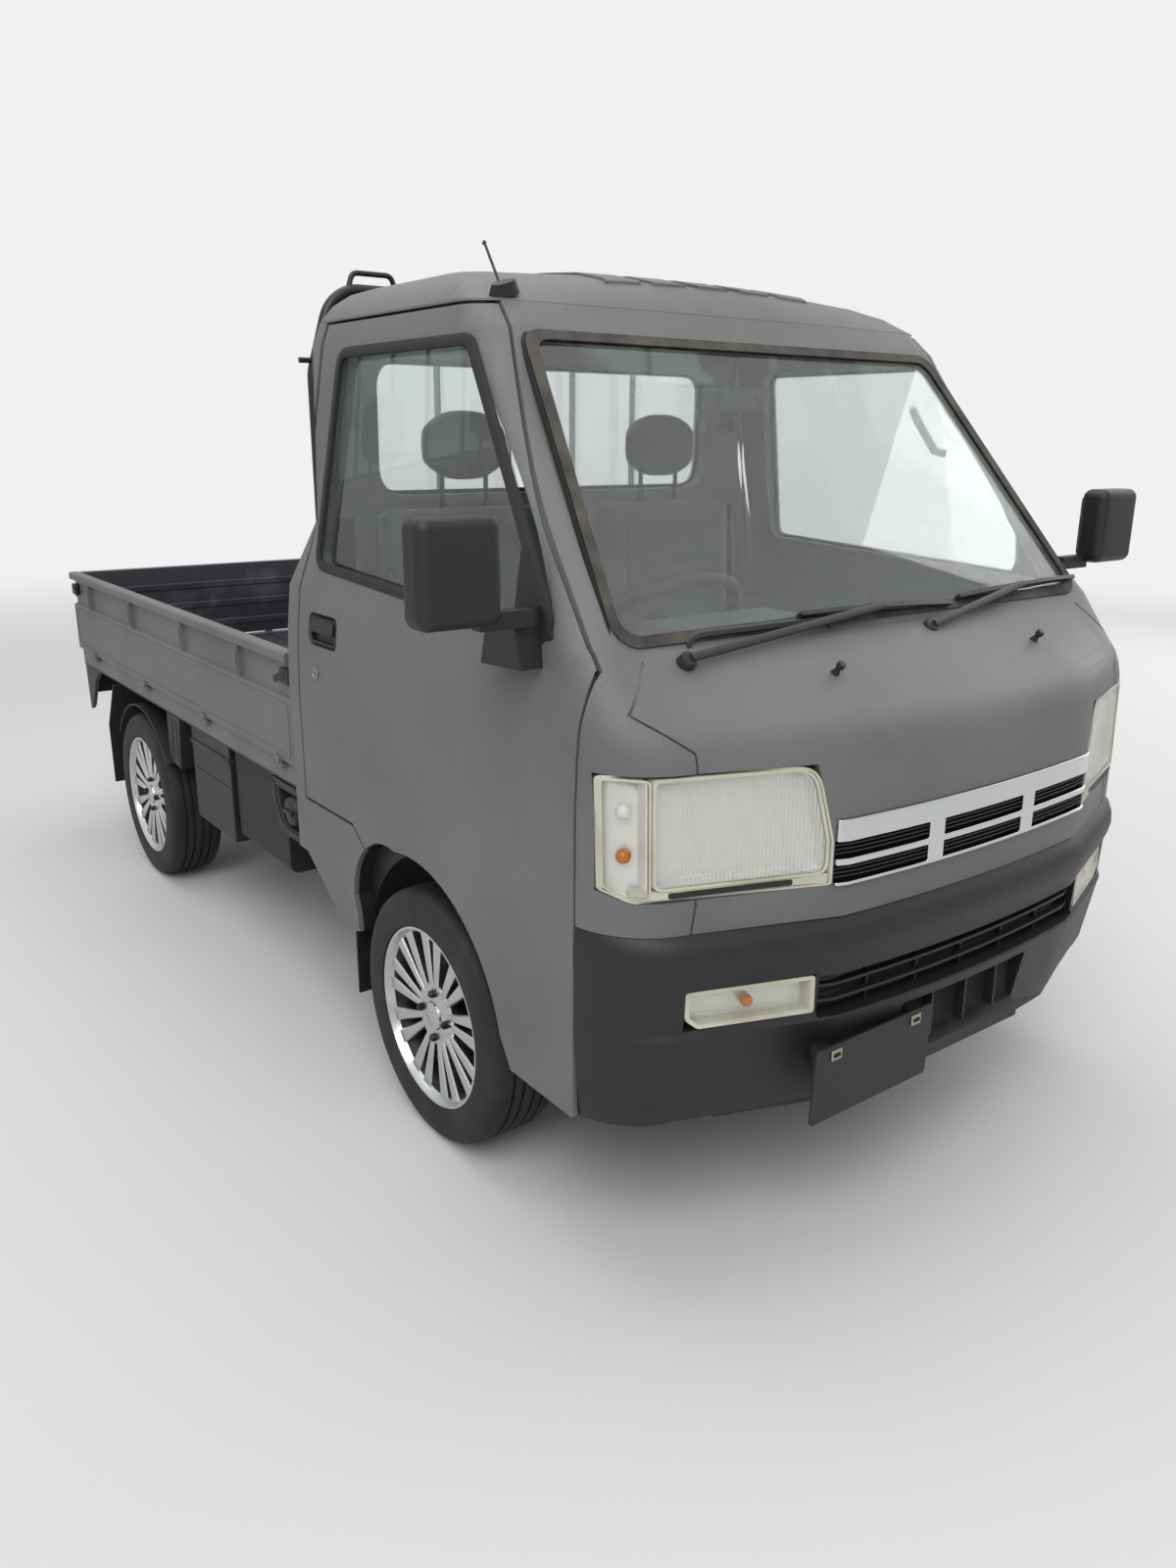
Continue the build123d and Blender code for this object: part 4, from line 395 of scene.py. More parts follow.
def patch(bm, outline, surface, lift, depth, rings=5):
    """Closed slab over an outline on a surface."""
    middle = sum(outline, Vector((0, 0))) / len(outline)
    edges = []
    for height in (lift, lift - depth):
        loops = []
        for k in range(rings):
            drawn = [middle + (p - middle) * (1 - k / rings) for p in outline]
            loops.append([bm.verts.new(surface(*p, height)) for p in drawn])
        tip = bm.verts.new(surface(*middle, height))
        for k in range(rings - 1):
            skin(bm, loops[k], loops[k + 1])
        for i in range(len(outline)):
            bm.faces.new((loops[-1][i - 1], loops[-1][i], tip))
        edges.append(loops[0])
    skin(bm, *edges)


def sweep(bm, path, profile, up=None, closed=False):
    """Profile of (across, up) offsets carried along points; a number is a round bar of that radius."""
    path = [Vector(p) for p in path]
    if not isinstance(profile, (list, tuple)):
        profile = [(profile * cos(2 * pi * k / 12), profile * sin(2 * pi * k / 12)) for k in range(12)]
    loops = []
    rise = Vector(up) if up else (path[1] - path[0]).orthogonal().normalized()
    for i, here in enumerate(path):
        before = path[i - 1] if i or closed else here
        after = path[(i + 1) % len(path)] if i < len(path) - 1 or closed else here
        along = (after - before).normalized()
        base = Vector(up) if up else rise
        rise = (base - along * base.dot(along)).normalized()
        across = along.cross(rise)
        loops.append([bm.verts.new(here + across * a + rise * b) for a, b in profile])
    for one, two in zip(loops, loops[1:]):
        skin(bm, one, two)
    if closed:
        skin(bm, loops[-1], loops[0])
    else:
        bm.faces.new(loops[0])
        bm.faces.new(loops[-1])


def settle(bm, crease=35.0, merge=True):
    """Brings a shape drawn in millimetres to metres: merged, faces outward, smooth between creases."""
    bmesh.ops.scale(bm, vec=(MM, MM, MM), verts=bm.verts)
    if merge:
        bmesh.ops.remove_doubles(bm, verts=bm.verts, dist=0.01 * MM)
    bmesh.ops.recalc_face_normals(bm, faces=bm.faces)
    smooth_between(bm, crease)


def set_out(mesh, name, body, replaced=()):
    """Object for a finished mesh, riding on its body."""
    piece = bpy.data.objects.new(name, mesh)
    scene.collection.objects.link(piece)
    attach(piece, body)
    if replaced:
        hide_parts(*replaced)
    return piece


def finish_piece(bm, name, material, body, replaced=(), crease=35.0):
    """Piece from a shape drawn in millimetres."""
    settle(bm, crease)
    mesh = plain_mesh(bm, name)
    mesh.materials.append(material)
    return set_out(mesh, name, body, replaced)


moulded_rubber, tree, shader = new_material("moulded_black_rubber", "#1e1e1d", 0.65)
grain(tree, shader, 1.8, 0.1, 3.0, 0.55, 0.75)
DOOR_WINDOW = ((-440, 1157), (-455, 1590), (-974, 1590), (-1346, 1113))
DOOR_WINDOW_CORNER = 34
CHANNEL = ((-9, -6), (-9, 2.5), (-7, 3.5), (8, 3.5), (12, 1.0), (12, -6))
FLANK_LEAN = 0.165
SAIL = ((-1340, 1118), (-1206, 1124), (-1222, 1150), (-1222, 1264))
SCREEN_OUTLINE = ((-653, 0), (653, 0), (562, 651), (-562, 651))
SCREEN_CORNER = 46
REAR_WINDOW = rectangle(-500, 1292, 500, 1592)
REAR_WINDOW_CORNER = 62
opening = rounded(DOOR_WINDOW, DOOR_WINDOW_CORNER)
for side, s in SIDES:
    bm = bmesh.new()
    path = [flank(s)(*p, 0) for p in opening]
    sweep(bm, path, [(a * s, b) for a, b in CHANNEL], (s, 0, FLANK_LEAN), True)
    patch(bm, rounded(SAIL, 5), flank(s), 1.5, 9, 3)
    finish_piece(bm, "window_channel_" + side, moulded_rubber, "door_" + side)
bm = bmesh.new()
bead = inset(rounded(SCREEN_OUTLINE, SCREEN_CORNER), 8)
sweep(bm, [on_screen(p.x, p.y, -6) for p in bead], bar(8, -4, 5), OUTWARD, True)
finish_piece(bm, "windscreen_bonding_bead", moulded_rubber, "chassis")


def cab_back(x, z):
    """Point on the outer face of the leaning rear wall."""
    return (x, -300 - 12 * (z - 1102) / 509, z)


bm = bmesh.new()
path = [cab_back(*p) for p in rounded(REAR_WINDOW, REAR_WINDOW_CORNER)]
sweep(bm, path, bar(10, -5, 3), (0, 1, 0), True)
finish_piece(bm, "rear_window_seal", moulded_rubber, "chassis")

# Door pulls: black moulded paddles in the pressed pockets, with a small round key lock below.
# The plastic has a fine leather grain and a low sheen; the lock is bright plated zinc.
PULL = ((-418, 988), (-418, 1046), (-548, 1046), (-548, 988))
LEVER = ((-424, 1012), (-424, 1042), (-536, 1042), (-536, 1012))
LOCK_SPOT = (-451, 920)
LOCK_FACE = ((0, -4), (15, -4), (15, 2), (13, 4), (9, 4), (8, 2.5), (0, 2.5))
KEYWAY_HALF = 4


def ring(bm, outer, inner, surface, lift, depth):
    """Closed flat ring between two outlines on a surface."""
    loops = []
    for outline, height in ((outer, lift), (inner, lift), (inner, lift - depth), (outer, lift - depth)):
        loops.append([bm.verts.new(surface(*p, height)) for p in outline])
    for k in range(4):
        skin(bm, loops[k], loops[(k + 1) % 4])


def lathe(bm, profile, centre, axis, sides=32):
    """Turned shape: (radius, height) points spun about an axis through a centre."""
    axis = Vector(axis).normalized()
    first = axis.orthogonal().normalized()
    second = axis.cross(first)
    turns = [2 * pi * k / sides for k in range(sides)]
    loops = []
    for radius, height in profile:
        spot = Vector(centre) + axis * height
        if radius < 0.01:
            loops.append([bm.verts.new(spot)] * sides)
        else:
            loops.append([bm.verts.new(spot + (first * cos(t) + second * sin(t)) * radius) for t in turns])
    for one, two in zip(loops, loops[1:]):
        for k in range(sides):
            face = []
            for v in (one[k], one[(k + 1) % sides], two[(k + 1) % sides], two[k]):
                if v not in face:
                    face.append(v)
            if len(face) > 2:
                bm.faces.new(face)


moulded_black, tree, shader = new_material("grained_black_polypropylene", "#1b1c1d", 0.5)
grain(tree, shader, 1.4, 0.25, 2.0, 0.42, 0.58)
lock_zinc, tree, shader = new_material("plated_zinc_casting", "#8f9092", 0.35, 1.0)
grain(tree, shader, 3, 0.05, 2.0, 0.28, 0.42)
for side, s in SIDES:
    skin_at = flank(s)
    bm = bmesh.new()
    pull = rounded(PULL, 15)
    ring(bm, pull, inset(pull, 5), skin_at, -3, 12)
    patch(bm, rounded(LEVER, 10), skin_at, 0, 7)
    patch(bm, inset(pull, 4), skin_at, -12, 3)
    finish_piece(bm, "door_pull_" + side, moulded_black, "door_" + side)
    bm = bmesh.new()
    lock_y, lock_z = LOCK_SPOT
    lathe(bm, LOCK_FACE, skin_at(lock_y, lock_z, 0), (s, 0, 0), 28)
    keyway = [skin_at(lock_y + end * KEYWAY_HALF, lock_z, 3) for end in (-1, 1)]
    sweep(bm, keyway, bar(1, 0, 0.8), (s, 0, 0))
    finish_piece(bm, "door_lock_" + side, lock_zinc, "door_" + side)

# Door mirrors: black moulded housings on arms, each with a silvered glass facing the driver.
# The glass is a plain mirror with a very slight wave.
MIRROR_GLASS = rectangle(826, 1163, 947, 1307)
MIRROR_BACK_Y = -1296


def upright(y, facing=1):
    """Flat surface across the truck at y, facing backwards, or forwards at -1."""
    return lambda x, z, lift: Vector((x, y + facing * lift, z))


for side, s in SIDES:
    dress("mirror_" + side, "mirror_housing_" + side, moulded_black, "door_" + side, 40, 9)
silvered_glass, tree, shader = new_material("silvered_mirror_glass", "#dfe3e4", 0.03, 1.0)
grain(tree, shader, 60, 0.02, 1.0)
mirror_face = rounded(MIRROR_GLASS, 18)
for side, s in SIDES:
    bm = bmesh.new()
    patch(bm, [Vector((s * p.x, p.y)) for p in mirror_face], upright(MIRROR_BACK_Y), 0.6, 3, 3)
    finish_piece(bm, "mirror_glass_" + side, silvered_glass, "door_" + side)

# Headlamps: a yellowed ivory plastic bezel round a fluted pressed-glass lens, with a clear corner
# lamp beside it that shows a clear bulb above and an amber bulb below, in a pale moulded dish.
# The flutes of the glass are about 3 mm; they are drawn at 7 mm so that they show.
LAMP_UNIT = ((369, 723, 6), (369, 800, 40), (399, 929, 46), (721, 929, 10), (721, 740, 8), (690, 723, 26))
MAIN_LENS = ((382, 748, 16), (382, 802, 40), (408, 921, 38), (658, 921, 8), (658, 748, 10))
CORNER_LENS = ((668, 922, 6), (716, 922, 6), (716, 748, 10), (697, 732, 14), (668, 732, 6))
BEZEL_SILL = ((376, 727), (376, 744), (690, 744), (690, 727))
BEZEL_SLOT = ((436, 730), (436, 740), (640, 740), (640, 730))
LAMP_DEPTH = 26
DISH_DEPTH = 20
BULB = ((0, 13), (7, 11), (11.5, 6), (13, 0), (11, -6), (7, -9), (0, -9))
BULB_X = 692
BULB_AXIS = (0.5, -0.86, 0)
NOSE_LEVELS = (  # z, y in the middle and at the bow's end, x and y of the slant's end, x and y of the side
    (300, -1680, -1662, 600, -1570, 734, -1410), (861, -1672, -1654, 600, -1562, 734, -1405),
    (940, -1667, -1649, 600, -1557, 731, -1403), (970, -1659, -1641, 602, -1549, 729, -1400),
    (990, -1643, -1626, 606, -1536, 728, -1396), (1006, -1616, -1601, 612, -1517, 727, -1390),
    (1102, -1425, -1425, 653, -1425, 716, -1352),
)
BOW_X = 345


def nose(x, z, lift):
    """Surface of the cab's front: a point from x, z and a lift off the metal."""
    front, bow, slant_x, slant_y, side_x, side_y = between(NOSE_LEVELS, z)
    wide = abs(x)
    if wide < BOW_X:
        y = front + (bow - front) * (wide / BOW_X) ** 2
    elif wide < slant_x:
        y = bow + (slant_y - bow) * (wide - BOW_X) / (slant_x - BOW_X)
    else:
        run, rise = side_x - slant_x, side_y - slant_y
        radius = (run * run + rise * rise) / (2 * run)
        y = side_y - max(radius ** 2 - (min(wide, side_x) - side_x + radius) ** 2, 0.0) ** 0.5
    return Vector((x, y - lift, z))


def on_side(s, corners):
    """Corners drawn on the left side, moved to side s."""
    return [(s * corner[0], *corner[1:]) for corner in corners]


def fluting(tree, shader, scale, depth, strength, direction="X", distortion=0.0):
    """Parallel flutes pressed across a lens, with a depth in millimetres."""
    place = add_node(tree, "ShaderNodeTexCoord")
    flutes = add_node(tree, "ShaderNodeTexWave", {
        "Vector": place.outputs["Object"], "Scale": scale, "Distortion": distortion,
    }, bands_direction=direction)
    bump = add_node(tree, "ShaderNodeBump", {
        "Height": flutes.outputs["Fac"], "Distance": depth * MM, "Strength": strength})
    tree.links.new(bump.outputs["Normal"], shader.inputs["Normal"])


def once(s, node_name):
    """The CAD node that a pair of pieces shares: the right-hand one stands for it."""
    return (node_name,) if s < 0 else ()


ivory_plastic, tree, shader = new_material("yellowed_moulded_abs", "#c4c1b0", 0.42)
place = grain(tree, shader, 3, 0.04, 3.0, 0.36, 0.5)
mottle(tree, shader, place, 9.0, 4.0, (0.35, 0.65), "#b3af9b", "#cfccbd")
reflector, tree, shader = new_material("aluminised_lamp_dish", "#e2e3df", 0.28, 0.35)
grain(tree, shader, 8, 0.3, 2.0, 0.25, 0.4)
fluted_glass, tree, shader = new_material(
    "fluted_pressed_glass", "#f4f5f1", 0.05, Transmission_Weight=1.0, IOR=1.45, Alpha=0.5)
fluting(tree, shader, 46.0, 0.9, 0.8)
clear_lens, tree, shader = new_material(
    "clear_moulded_acrylic", "#f1f2ee", 0.04, Transmission_Weight=1.0, IOR=1.45, Alpha=0.35)
fluting(tree, shader, 40.0, 0.4, 0.6, "Z", 0.2)
bulb_glass, tree, shader = new_material("clear_bulb_glass", "#f4f4f0", 0.05, Transmission_Weight=0.4)
grain(tree, shader, 6, 0.03)
amber_glass, tree, shader = new_material("amber_bulb_glass", "#c8741c", 0.15, Transmission_Weight=0.2)
grain(tree, shader, 6, 0.03)
for side, s in SIDES:
    unit, lens, corner = [rounded(on_side(s, outline), 8) for outline in (LAMP_UNIT, MAIN_LENS, CORNER_LENS)]
    bm = bmesh.new()
    ring(bm, unit, inset(unit, 4), nose, 1.5, LAMP_DEPTH)
    ring(bm, lens, inset(lens, -5), nose, 2.0, DISH_DEPTH)
    ring(bm, corner, inset(corner, -3), nose, 2.0, DISH_DEPTH)
    patch(bm, rounded(on_side(s, BEZEL_SILL), 4), nose, 0.5, 10)
    finish_piece(bm, "headlamp_bezel_" + side, ivory_plastic, "chassis", once(s, "headlamps"))
    bm = bmesh.new()
    patch(bm, inset(unit, 4), nose, -22, 3)
    ring(bm, inset(lens, -1), inset(lens, 3), nose, -3, DISH_DEPTH)
    ring(bm, inset(corner, -1), inset(corner, 2), nose, -3, DISH_DEPTH)
    finish_piece(bm, "headlamp_dish_" + side, reflector, "chassis")
    bm = bmesh.new()
    patch(bm, lens, nose, 1.0, 3.5, 8)
    finish_piece(bm, "headlamp_glass_" + side, fluted_glass, "chassis")
    bm = bmesh.new()
    patch(bm, corner, nose, 1.5, 2.5, 6)
    finish_piece(bm, "corner_lamp_lens_" + side, clear_lens, "chassis")
    for name, z, glass in (("clear", 872, bulb_glass), ("amber", 799, amber_glass)):
        bm = bmesh.new()
        lathe(bm, BULB, nose(s * BULB_X, z, -12), on_side(s, (BULB_AXIS,))[0], 20)
        finish_piece(bm, name + "_bulb_" + side, glass, "chassis")
    # A black slot along the bezel's sill and a black ring in the gap round the lamp unit: painted shade.
    bm = bmesh.new()
    patch(bm, rounded(on_side(s, BEZEL_SLOT), 4.5), nose, 1.2, 3)
    ring(bm, inset(unit, -1), inset(unit, 2), nose, 0.2, DISH_DEPTH)
    finish_piece(bm, "headlamp_shadow_gap_" + side, moulded_black, "chassis")

# Grille: one chrome-plated moulding with a bare band and six slots, each with thin black louvres
# set back in it and a near-black sheet of painted shade behind. The plating mirrors the sky, with a slight
# wave.
LOUVRE_SPANS = ((-263, 216), (0, 230), (263, 216))
LOUVRE_ROWS = (768, 727)
SLOT_HEIGHT = 29
LOUVRES_IN_A_SLOT = 3
bright_chrome, tree, shader = new_material("plated_chrome_on_abs", "#d4d6d8", 0.1, 1.0)
grain(tree, shader, 30, 0.05, 1.0, 0.07, 0.14)
dress("grille", "chrome_grille", bright_chrome, edge=2.5, clamp=False)
# Near-black sheets set behind slots and holes stand in for the shade there: painted shade.
painted_shade_black, tree, shader = new_material("painted_shade_black_sheet", "#0b0b0c", 0.8)
grain(tree, shader, 4, 0.1)
bm = bmesh.new()
for x, width in LOUVRE_SPANS:
    for low in LOUVRE_ROWS:
        for k in range(1, LOUVRES_IN_A_SLOT + 1):
            z = low + SLOT_HEIGHT * k / (LOUVRES_IN_A_SLOT + 1)
            path = [nose(x + width * (share - 0.5), z, -4) for share in (0, 0.25, 0.5, 0.75, 1)]
            sweep(bm, path, bar(1.2, -5, 4), (0, -1, 0))
finish_piece(bm, "grille_louvres", moulded_black, "chassis")
bm = bmesh.new()
patch(bm, rounded(rectangle(-352, 722, 352, 802), 4), nose, -16, 3, 3)
finish_piece(bm, "grille_void", painted_shade_black, "chassis")

# Front bumper: one black moulded polypropylene cover, its slots backed by near-black sheets of
# painted shade. The mouth has upright ribs and a flat carrier for a plate, with two slotted holes and plated
# clips.
BUMPER_VOIDS = ((rectangle(-383, 482, 383, 562), -28), (rectangle(-184, 350, 184, 461), -27))
MOUTH_RIBS = (-96, 0, 96)
CARRIER_Y = -1692
CARRIER_TOP = 446
CARRIER_LEAN = 0.03
CARRIER = ((-420, 302), (-420, CARRIER_TOP), (-114, CARRIER_TOP), (-114, 302))
CLIP_PLACES = (-372, -162)


def box_form(bm, low, high, edge):
    """Block with rounded edges between two corners."""
    made = bmesh.ops.create_cube(bm, size=1.0)["verts"]
    for v in made:
        v.co = Vector([(a + b) / 2 + c * abs(b - a) for a, b, c in zip(low, high, v.co)])
    edges = list({e for v in made for e in v.link_edges})
    bmesh.ops.bevel(bm, geom=edges, offset=edge, segments=3, affect="EDGES", profile=0.5)


def carrier_face(x, z, lift):
    """Surface of the plate carrier, which leans back a little towards its foot."""
    return Vector((x, CARRIER_Y + 6 + CARRIER_LEAN * (CARRIER_TOP - z) - lift, z))


dress("front_bumper", "moulded_bumper", moulded_black, crease=24, edge=2.5)
bm = bmesh.new()
for outline, depth in BUMPER_VOIDS:
    patch(bm, rounded(outline, 3), nose, depth, 3, 3)
finish_piece(bm, "bumper_void", painted_shade_black, "chassis")
bm = bmesh.new()
for x in MOUTH_RIBS:
    sweep(bm, [nose(x, 372, -2), nose(x, 460, -2)], bar(2.5, -22, 0), (0, -1, 0))
patch(bm, rounded(CARRIER, 7), carrier_face, 2, 5, 3)
for x in CLIP_PLACES:
    box_form(bm, (x - 14, CARRIER_Y + 6, 380), (x + 14, -1640, 432), 3)
finish_piece(bm, "plate_carrier", moulded_black, "chassis")
zinc_clip, tree, shader = new_material("yellow_zinc_plated_steel", "#a8a18e", 0.35, 1.0)
grain(tree, shader, 3, 0.05, 2.0, 0.25, 0.45)
bm = bmesh.new()
for x in CLIP_PLACES:
    box_form(bm, (x - 13, CARRIER_Y + 1, 418), (x + 13, CARRIER_Y + 6, 438), 1.5)
finish_piece(bm, "plate_clips", zinc_clip, "chassis")
# The slots in the clips are near-black marks of painted shade.
bm = bmesh.new()
for x in CLIP_PLACES:
    patch(bm, rounded(rectangle(x - 9, 424, x + 9, 432), 3.5), upright(CARRIER_Y + 1, -1), 0.5, 1, 2)
finish_piece(bm, "plate_clip_slots", painted_shade_black, "chassis")

# Bumper lamps: clear moulded lenses with an ivory rim over a pale dish and an amber bulb, fixed
# in pockets at the ends of the bumper's slots
BUMPER_LAMP = ((391, 564, 6), (612, 564, 8), (612, 515, 22), (590, 496, 14), (391, 496, 6))
INDICATOR_BULB = ((0, 12), (8, 9), (11, 0), (8, -8), (0, -8))
for side, s in SIDES:
    lamp = rounded(on_side(s, BUMPER_LAMP), 6)
    bm = bmesh.new()
    ring(bm, lamp, inset(lamp, 7), nose, 6, 22)
    shared = once(s, "bumper_lamps")
    finish_piece(bm, "bumper_lamp_rim_" + side, ivory_plastic, "chassis", shared)
    bm = bmesh.new()
    patch(bm, inset(lamp, 2), nose, -20, 3)
    finish_piece(bm, "bumper_lamp_dish_" + side, reflector, "chassis")
    bm = bmesh.new()
    patch(bm, inset(lamp, 6), nose, 4, 3, 6)
    finish_piece(bm, "bumper_lamp_lens_" + side, clear_lens, "chassis")
    bm = bmesh.new()
    lathe(bm, INDICATOR_BULB, nose(s * 500, 530, -8), (0, -1, 0), 16)
    finish_piece(bm, "bumper_bulb_" + side, amber_glass, "chassis")

# Wipers: pressed steel arms coated satin black on capped pivots, with rubber blades that rest on
# the glass. Two turned washer nozzles stand on the panel below.
WIPERS = (  # x and height up the slope of the pivot, the blade's joint and its tip
    (-531, -34, -28, 18, 182, 12), (86, -34, 424, 30, 636, 38),
)
PIVOT_CAP = ((0, -18), (16, -18), (15, 6), (12, 10), (0, 11))
ARM = ((-7, -4), (-7, 3), (-4, 5), (4, 5), (7, 3), (7, -4))
BLADE = ((-1, -7), (-4, 0), (-4, 5), (4, 5), (4, 0), (1, -7))
NOZZLE = ((0, -6), (8, -6), (7.5, 3), (5.5, 6), (5.5, 14), (8, 16), (8, 23), (6.5, 25.5), (0, 26))
NOZZLE_AXIS = (0, -0.62, 0.78)
coated_steel, tree, shader = new_material("black_coated_spring_steel", "#26282a", 0.4)
grain(tree, shader, 2, 0.04, 2.0, 0.32, 0.5)
bm = bmesh.new()
blades = bmesh.new()
for pivot_x, pivot_v, joint_x, joint_v, tip_x, tip_v in WIPERS:
    pivot, joint = on_screen(pivot_x, pivot_v, 14), on_screen(joint_x, joint_v, 22)
    lathe(bm, PIVOT_CAP, pivot, OUTWARD, 24)
    along = joint - pivot
    arm = [pivot + along * t + OUTWARD * (8 * (1 - t) + 3) for t in (0.0, 0.08, 0.4, 0.75, 1.0)]
    sweep(bm, arm, ARM, OUTWARD)
    tip = on_screen(tip_x, tip_v, 20)
    back = joint - (tip - joint)
    bow = [back + OUTWARD * -6, back.lerp(joint, 0.5), joint + OUTWARD * 2, joint.lerp(tip, 0.5),
           tip + OUTWARD * -6]
    sweep(bm, bow, bar(4, -2, 2), OUTWARD)
    edge = [on_screen(2 * joint_x - tip_x, 2 * joint_v - tip_v, 9), on_screen(tip_x, tip_v, 9)]
    sweep(blades, edge, BLADE, OUTWARD)
for x in (-262, 323):
    lathe(bm, NOZZLE, nose(x, 1046, 0), NOZZLE_AXIS, 20)
finish_piece(bm, "wiper_arms", coated_steel, "chassis", ("wipers",))
finish_piece(blades, "wiper_blades", moulded_rubber, "chassis")

# Aerial: a moulded foot screwed to the roof's corner, and a sprung steel mast in a black plastic
# sheath with a moulded bead at its tip. It is as matt as the other black mouldings.
TIP_BEAD = ((0, -9), (2.6, -8), (4.0, -5.5), (4.0, -3.5), (2.6, -1.2), (0, -0.6))
dress("aerial", "roof_aerial", moulded_black, crease=40)
mast_tip = max((v.co for v in nodes["aerial"].data.vertices), key=lambda co: co.z) / MM
bm = bmesh.new()
lathe(bm, TIP_BEAD, mast_tip, (0, 0, 1), 18)
finish_piece(bm, "aerial_tip", moulded_black, "chassis")

# Tyres: road tyres of moulded rubber with a ribbed tread and cut shoulder blocks, dusty in patches.
# One tyre is made round the X axis and copied to each wheel.
HUB = (0, 0, 0)
AXLE = (1, 0, 0)
TYRE_HALF = (
    (194, 76), (196, 80), (214, 81.5), (236, 82), (250, 80.5), (258, 78), (264.5, 73), (268.5, 66), (271, 58),
    (272, 44), (272, 41), (265, 40), (265, 35), (272.3, 34), (272.4, 17), (265, 16), (265, 11), (272.4, 10),
    (272.4, 0),
)
TREAD_BLOCKS = 72
SHOULDER_BLOCK = ((47, 0, 271.2), (58, 0.6, 270.3), (66, 1.2, 267.9), (72.5, 2.0, 264.2))
tyre_rubber, tree, shader = new_material("moulded_tyre_rubber", "#191919", 0.72)
place = grain(tree, shader, 4.0, 0.12, 3.0, 0.62, 0.82)
mottle(tree, shader, place, 11.0, 5.0, (0.4, 0.75), "#171717", "#2c2b29")


def repeat_tree():
    """Geometry Nodes tree that sets copies of a piece in a row, turning each about X."""
    group = bpy.data.node_groups.new("set_in_a_row_or_ring", "GeometryNodeTree")
    for name, kind in (
        ("Geometry", "Geometry"), ("Count", "Int"), ("Step", "Vector"),
        ("Turn", "Float"), ("Finish", "Material"),
    ):
        group.interface.new_socket(name=name, in_out="INPUT", socket_type="NodeSocket" + kind)
    group.interface.new_socket(name="Geometry", in_out="OUTPUT", socket_type="NodeSocketGeometry")
    entry = add_node(group, "NodeGroupInput")
    line = add_node(group, "GeometryNodeMeshLine", {
        "Count": entry.outputs["Count"], "Offset": entry.outputs["Step"]})
    index = add_node(group, "GeometryNodeInputIndex")
    angle = add_node(group, "ShaderNodeMath", {
        0: index.outputs[0], 1: entry.outputs["Turn"]}, operation="MULTIPLY")
    turn = add_node(group, "ShaderNodeCombineXYZ", {"X": angle.outputs[0]})
    placed = add_node(group, "GeometryNodeInstanceOnPoints", {
        "Points": line.outputs["Mesh"], "Instance": entry.outputs["Geometry"], "Rotation": turn.outputs[0]})
    real = add_node(group, "GeometryNodeRealizeInstances", {"Geometry": placed.outputs["Instances"]})
    coated = add_node(group, "GeometryNodeSetMaterial", {
        "Geometry": real.outputs["Geometry"], "Material": entry.outputs["Finish"]})
    add_node(group, "NodeGroupOutput", {"Geometry": coated.outputs["Geometry"]})
    return group


row_or_ring = repeat_tree()


def repeated(bm, name, material, count, step=(0, 0, 0), turn=0.0, shift=(0, 0, 0)):
    """Plain mesh of many copies of a piece drawn in millimetres, moved by a shift."""
    settle(bm, merge=False)
    source = bpy.data.objects.new(name + "_one", plain_mesh(bm, name + "_one"))
    scene.collection.objects.link(source)
    rule = source.modifiers.new("repeat", "NODES")
    rule.node_group = row_or_ring
    values = {"Count": count, "Step": [v * MM for v in step], "Turn": turn, "Finish": material}
    for socket in row_or_ring.interface.items_tree:
        if socket.in_out == "INPUT" and socket.name in values:
            rule[socket.identifier] = values[socket.name]
    bpy.context.view_layer.update()
    result = source.evaluated_get(bpy.context.evaluated_depsgraph_get())
    mesh = bpy.data.meshes.new_from_object(result)
    bpy.data.objects.remove(source)
    mesh.name = name
    mesh.transform(Matrix.Translation(Vector(shift) * MM))
    return mesh


bm = bmesh.new()
tyre_profile = list(TYRE_HALF) + [(r, -x) for r, x in reversed(TYRE_HALF[:-1])] + [TYRE_HALF[0]]
lathe(bm, tyre_profile, HUB, AXLE, 96)
settle(bm)
casing = plain_mesh(bm, "tyre_casing")
bm = bmesh.new()
for end in (-1, 1):
    sweep(bm, on_side(end, SHOULDER_BLOCK), bar(5.5, -2, 0.6, 5.0), (0, 0, 1))
for x in (-25.5, 0, 25.5):
    sweep(bm, [(x - 7, -2, 271.2), (x + 7, 2, 271.2)], bar(5, -2, 1.2), (0, 0, 1))
tread = repeated(bm, "tread_blocks", tyre_rubber, TREAD_BLOCKS, turn=2 * pi / TREAD_BLOCKS)

# Rims: nine twin spokes cast with the rim, their faces and lip turned bright, the pockets and
# barrel left in dark paint, with a plain cap and four black nuts. The turned faces glint, with
# a roughness that varies as a cutter's marks do.
RIM_LIP = (
    (193, 70), (193, 77), (191, 78), (187.5, 77.5), (184, 72), (181, 66),
    (178, 60), (181, 56), (190, 62), (193, 70),
)
HUB_CAP = ((0, 67.5), (24, 67), (28.5, 65), (30, 60), (0, 60))
HUB_RING = ((31, 58), (31, 61.5), (40, 62), (66, 58.5), (70, 54), (70, 38), (31, 38), (31, 58))
SPOKES = 9
SPOKE_LEAN = 8.2
SPOKE_THICKNESS = 20
SPOKE_EDGE = (2.5, 3)
SPOKE = (  # radius, half-width, distance of its face from the wheel's middle
    (34, 5, 57), (60, 7, 60.5), (100, 9.5, 62.5), (140, 12.5, 63.5), (172, 14.5, 64.5), (186, 17, 66),
)
BARREL = (
    (180, 60), (172, 50), (166, 36), (161, 0), (167, -60), (180, -77), (192, -78), (192, -70), (179, -66),
    (173, -56), (168, 0), (172, 36), (178, 56), (180, 60),
)
HUB_BACK = ((0, 40), (60, 40), (68, 36), (68, 20), (0, 20))
NUT = ((0, 20), (5, 20), (8.5, 16), (9.5, 0), (0, 0))
NUTS = 4
NUT_SPOT = (52, 0, 50)
WHEEL_X = 655
WHEEL_RADIUS = 272.5
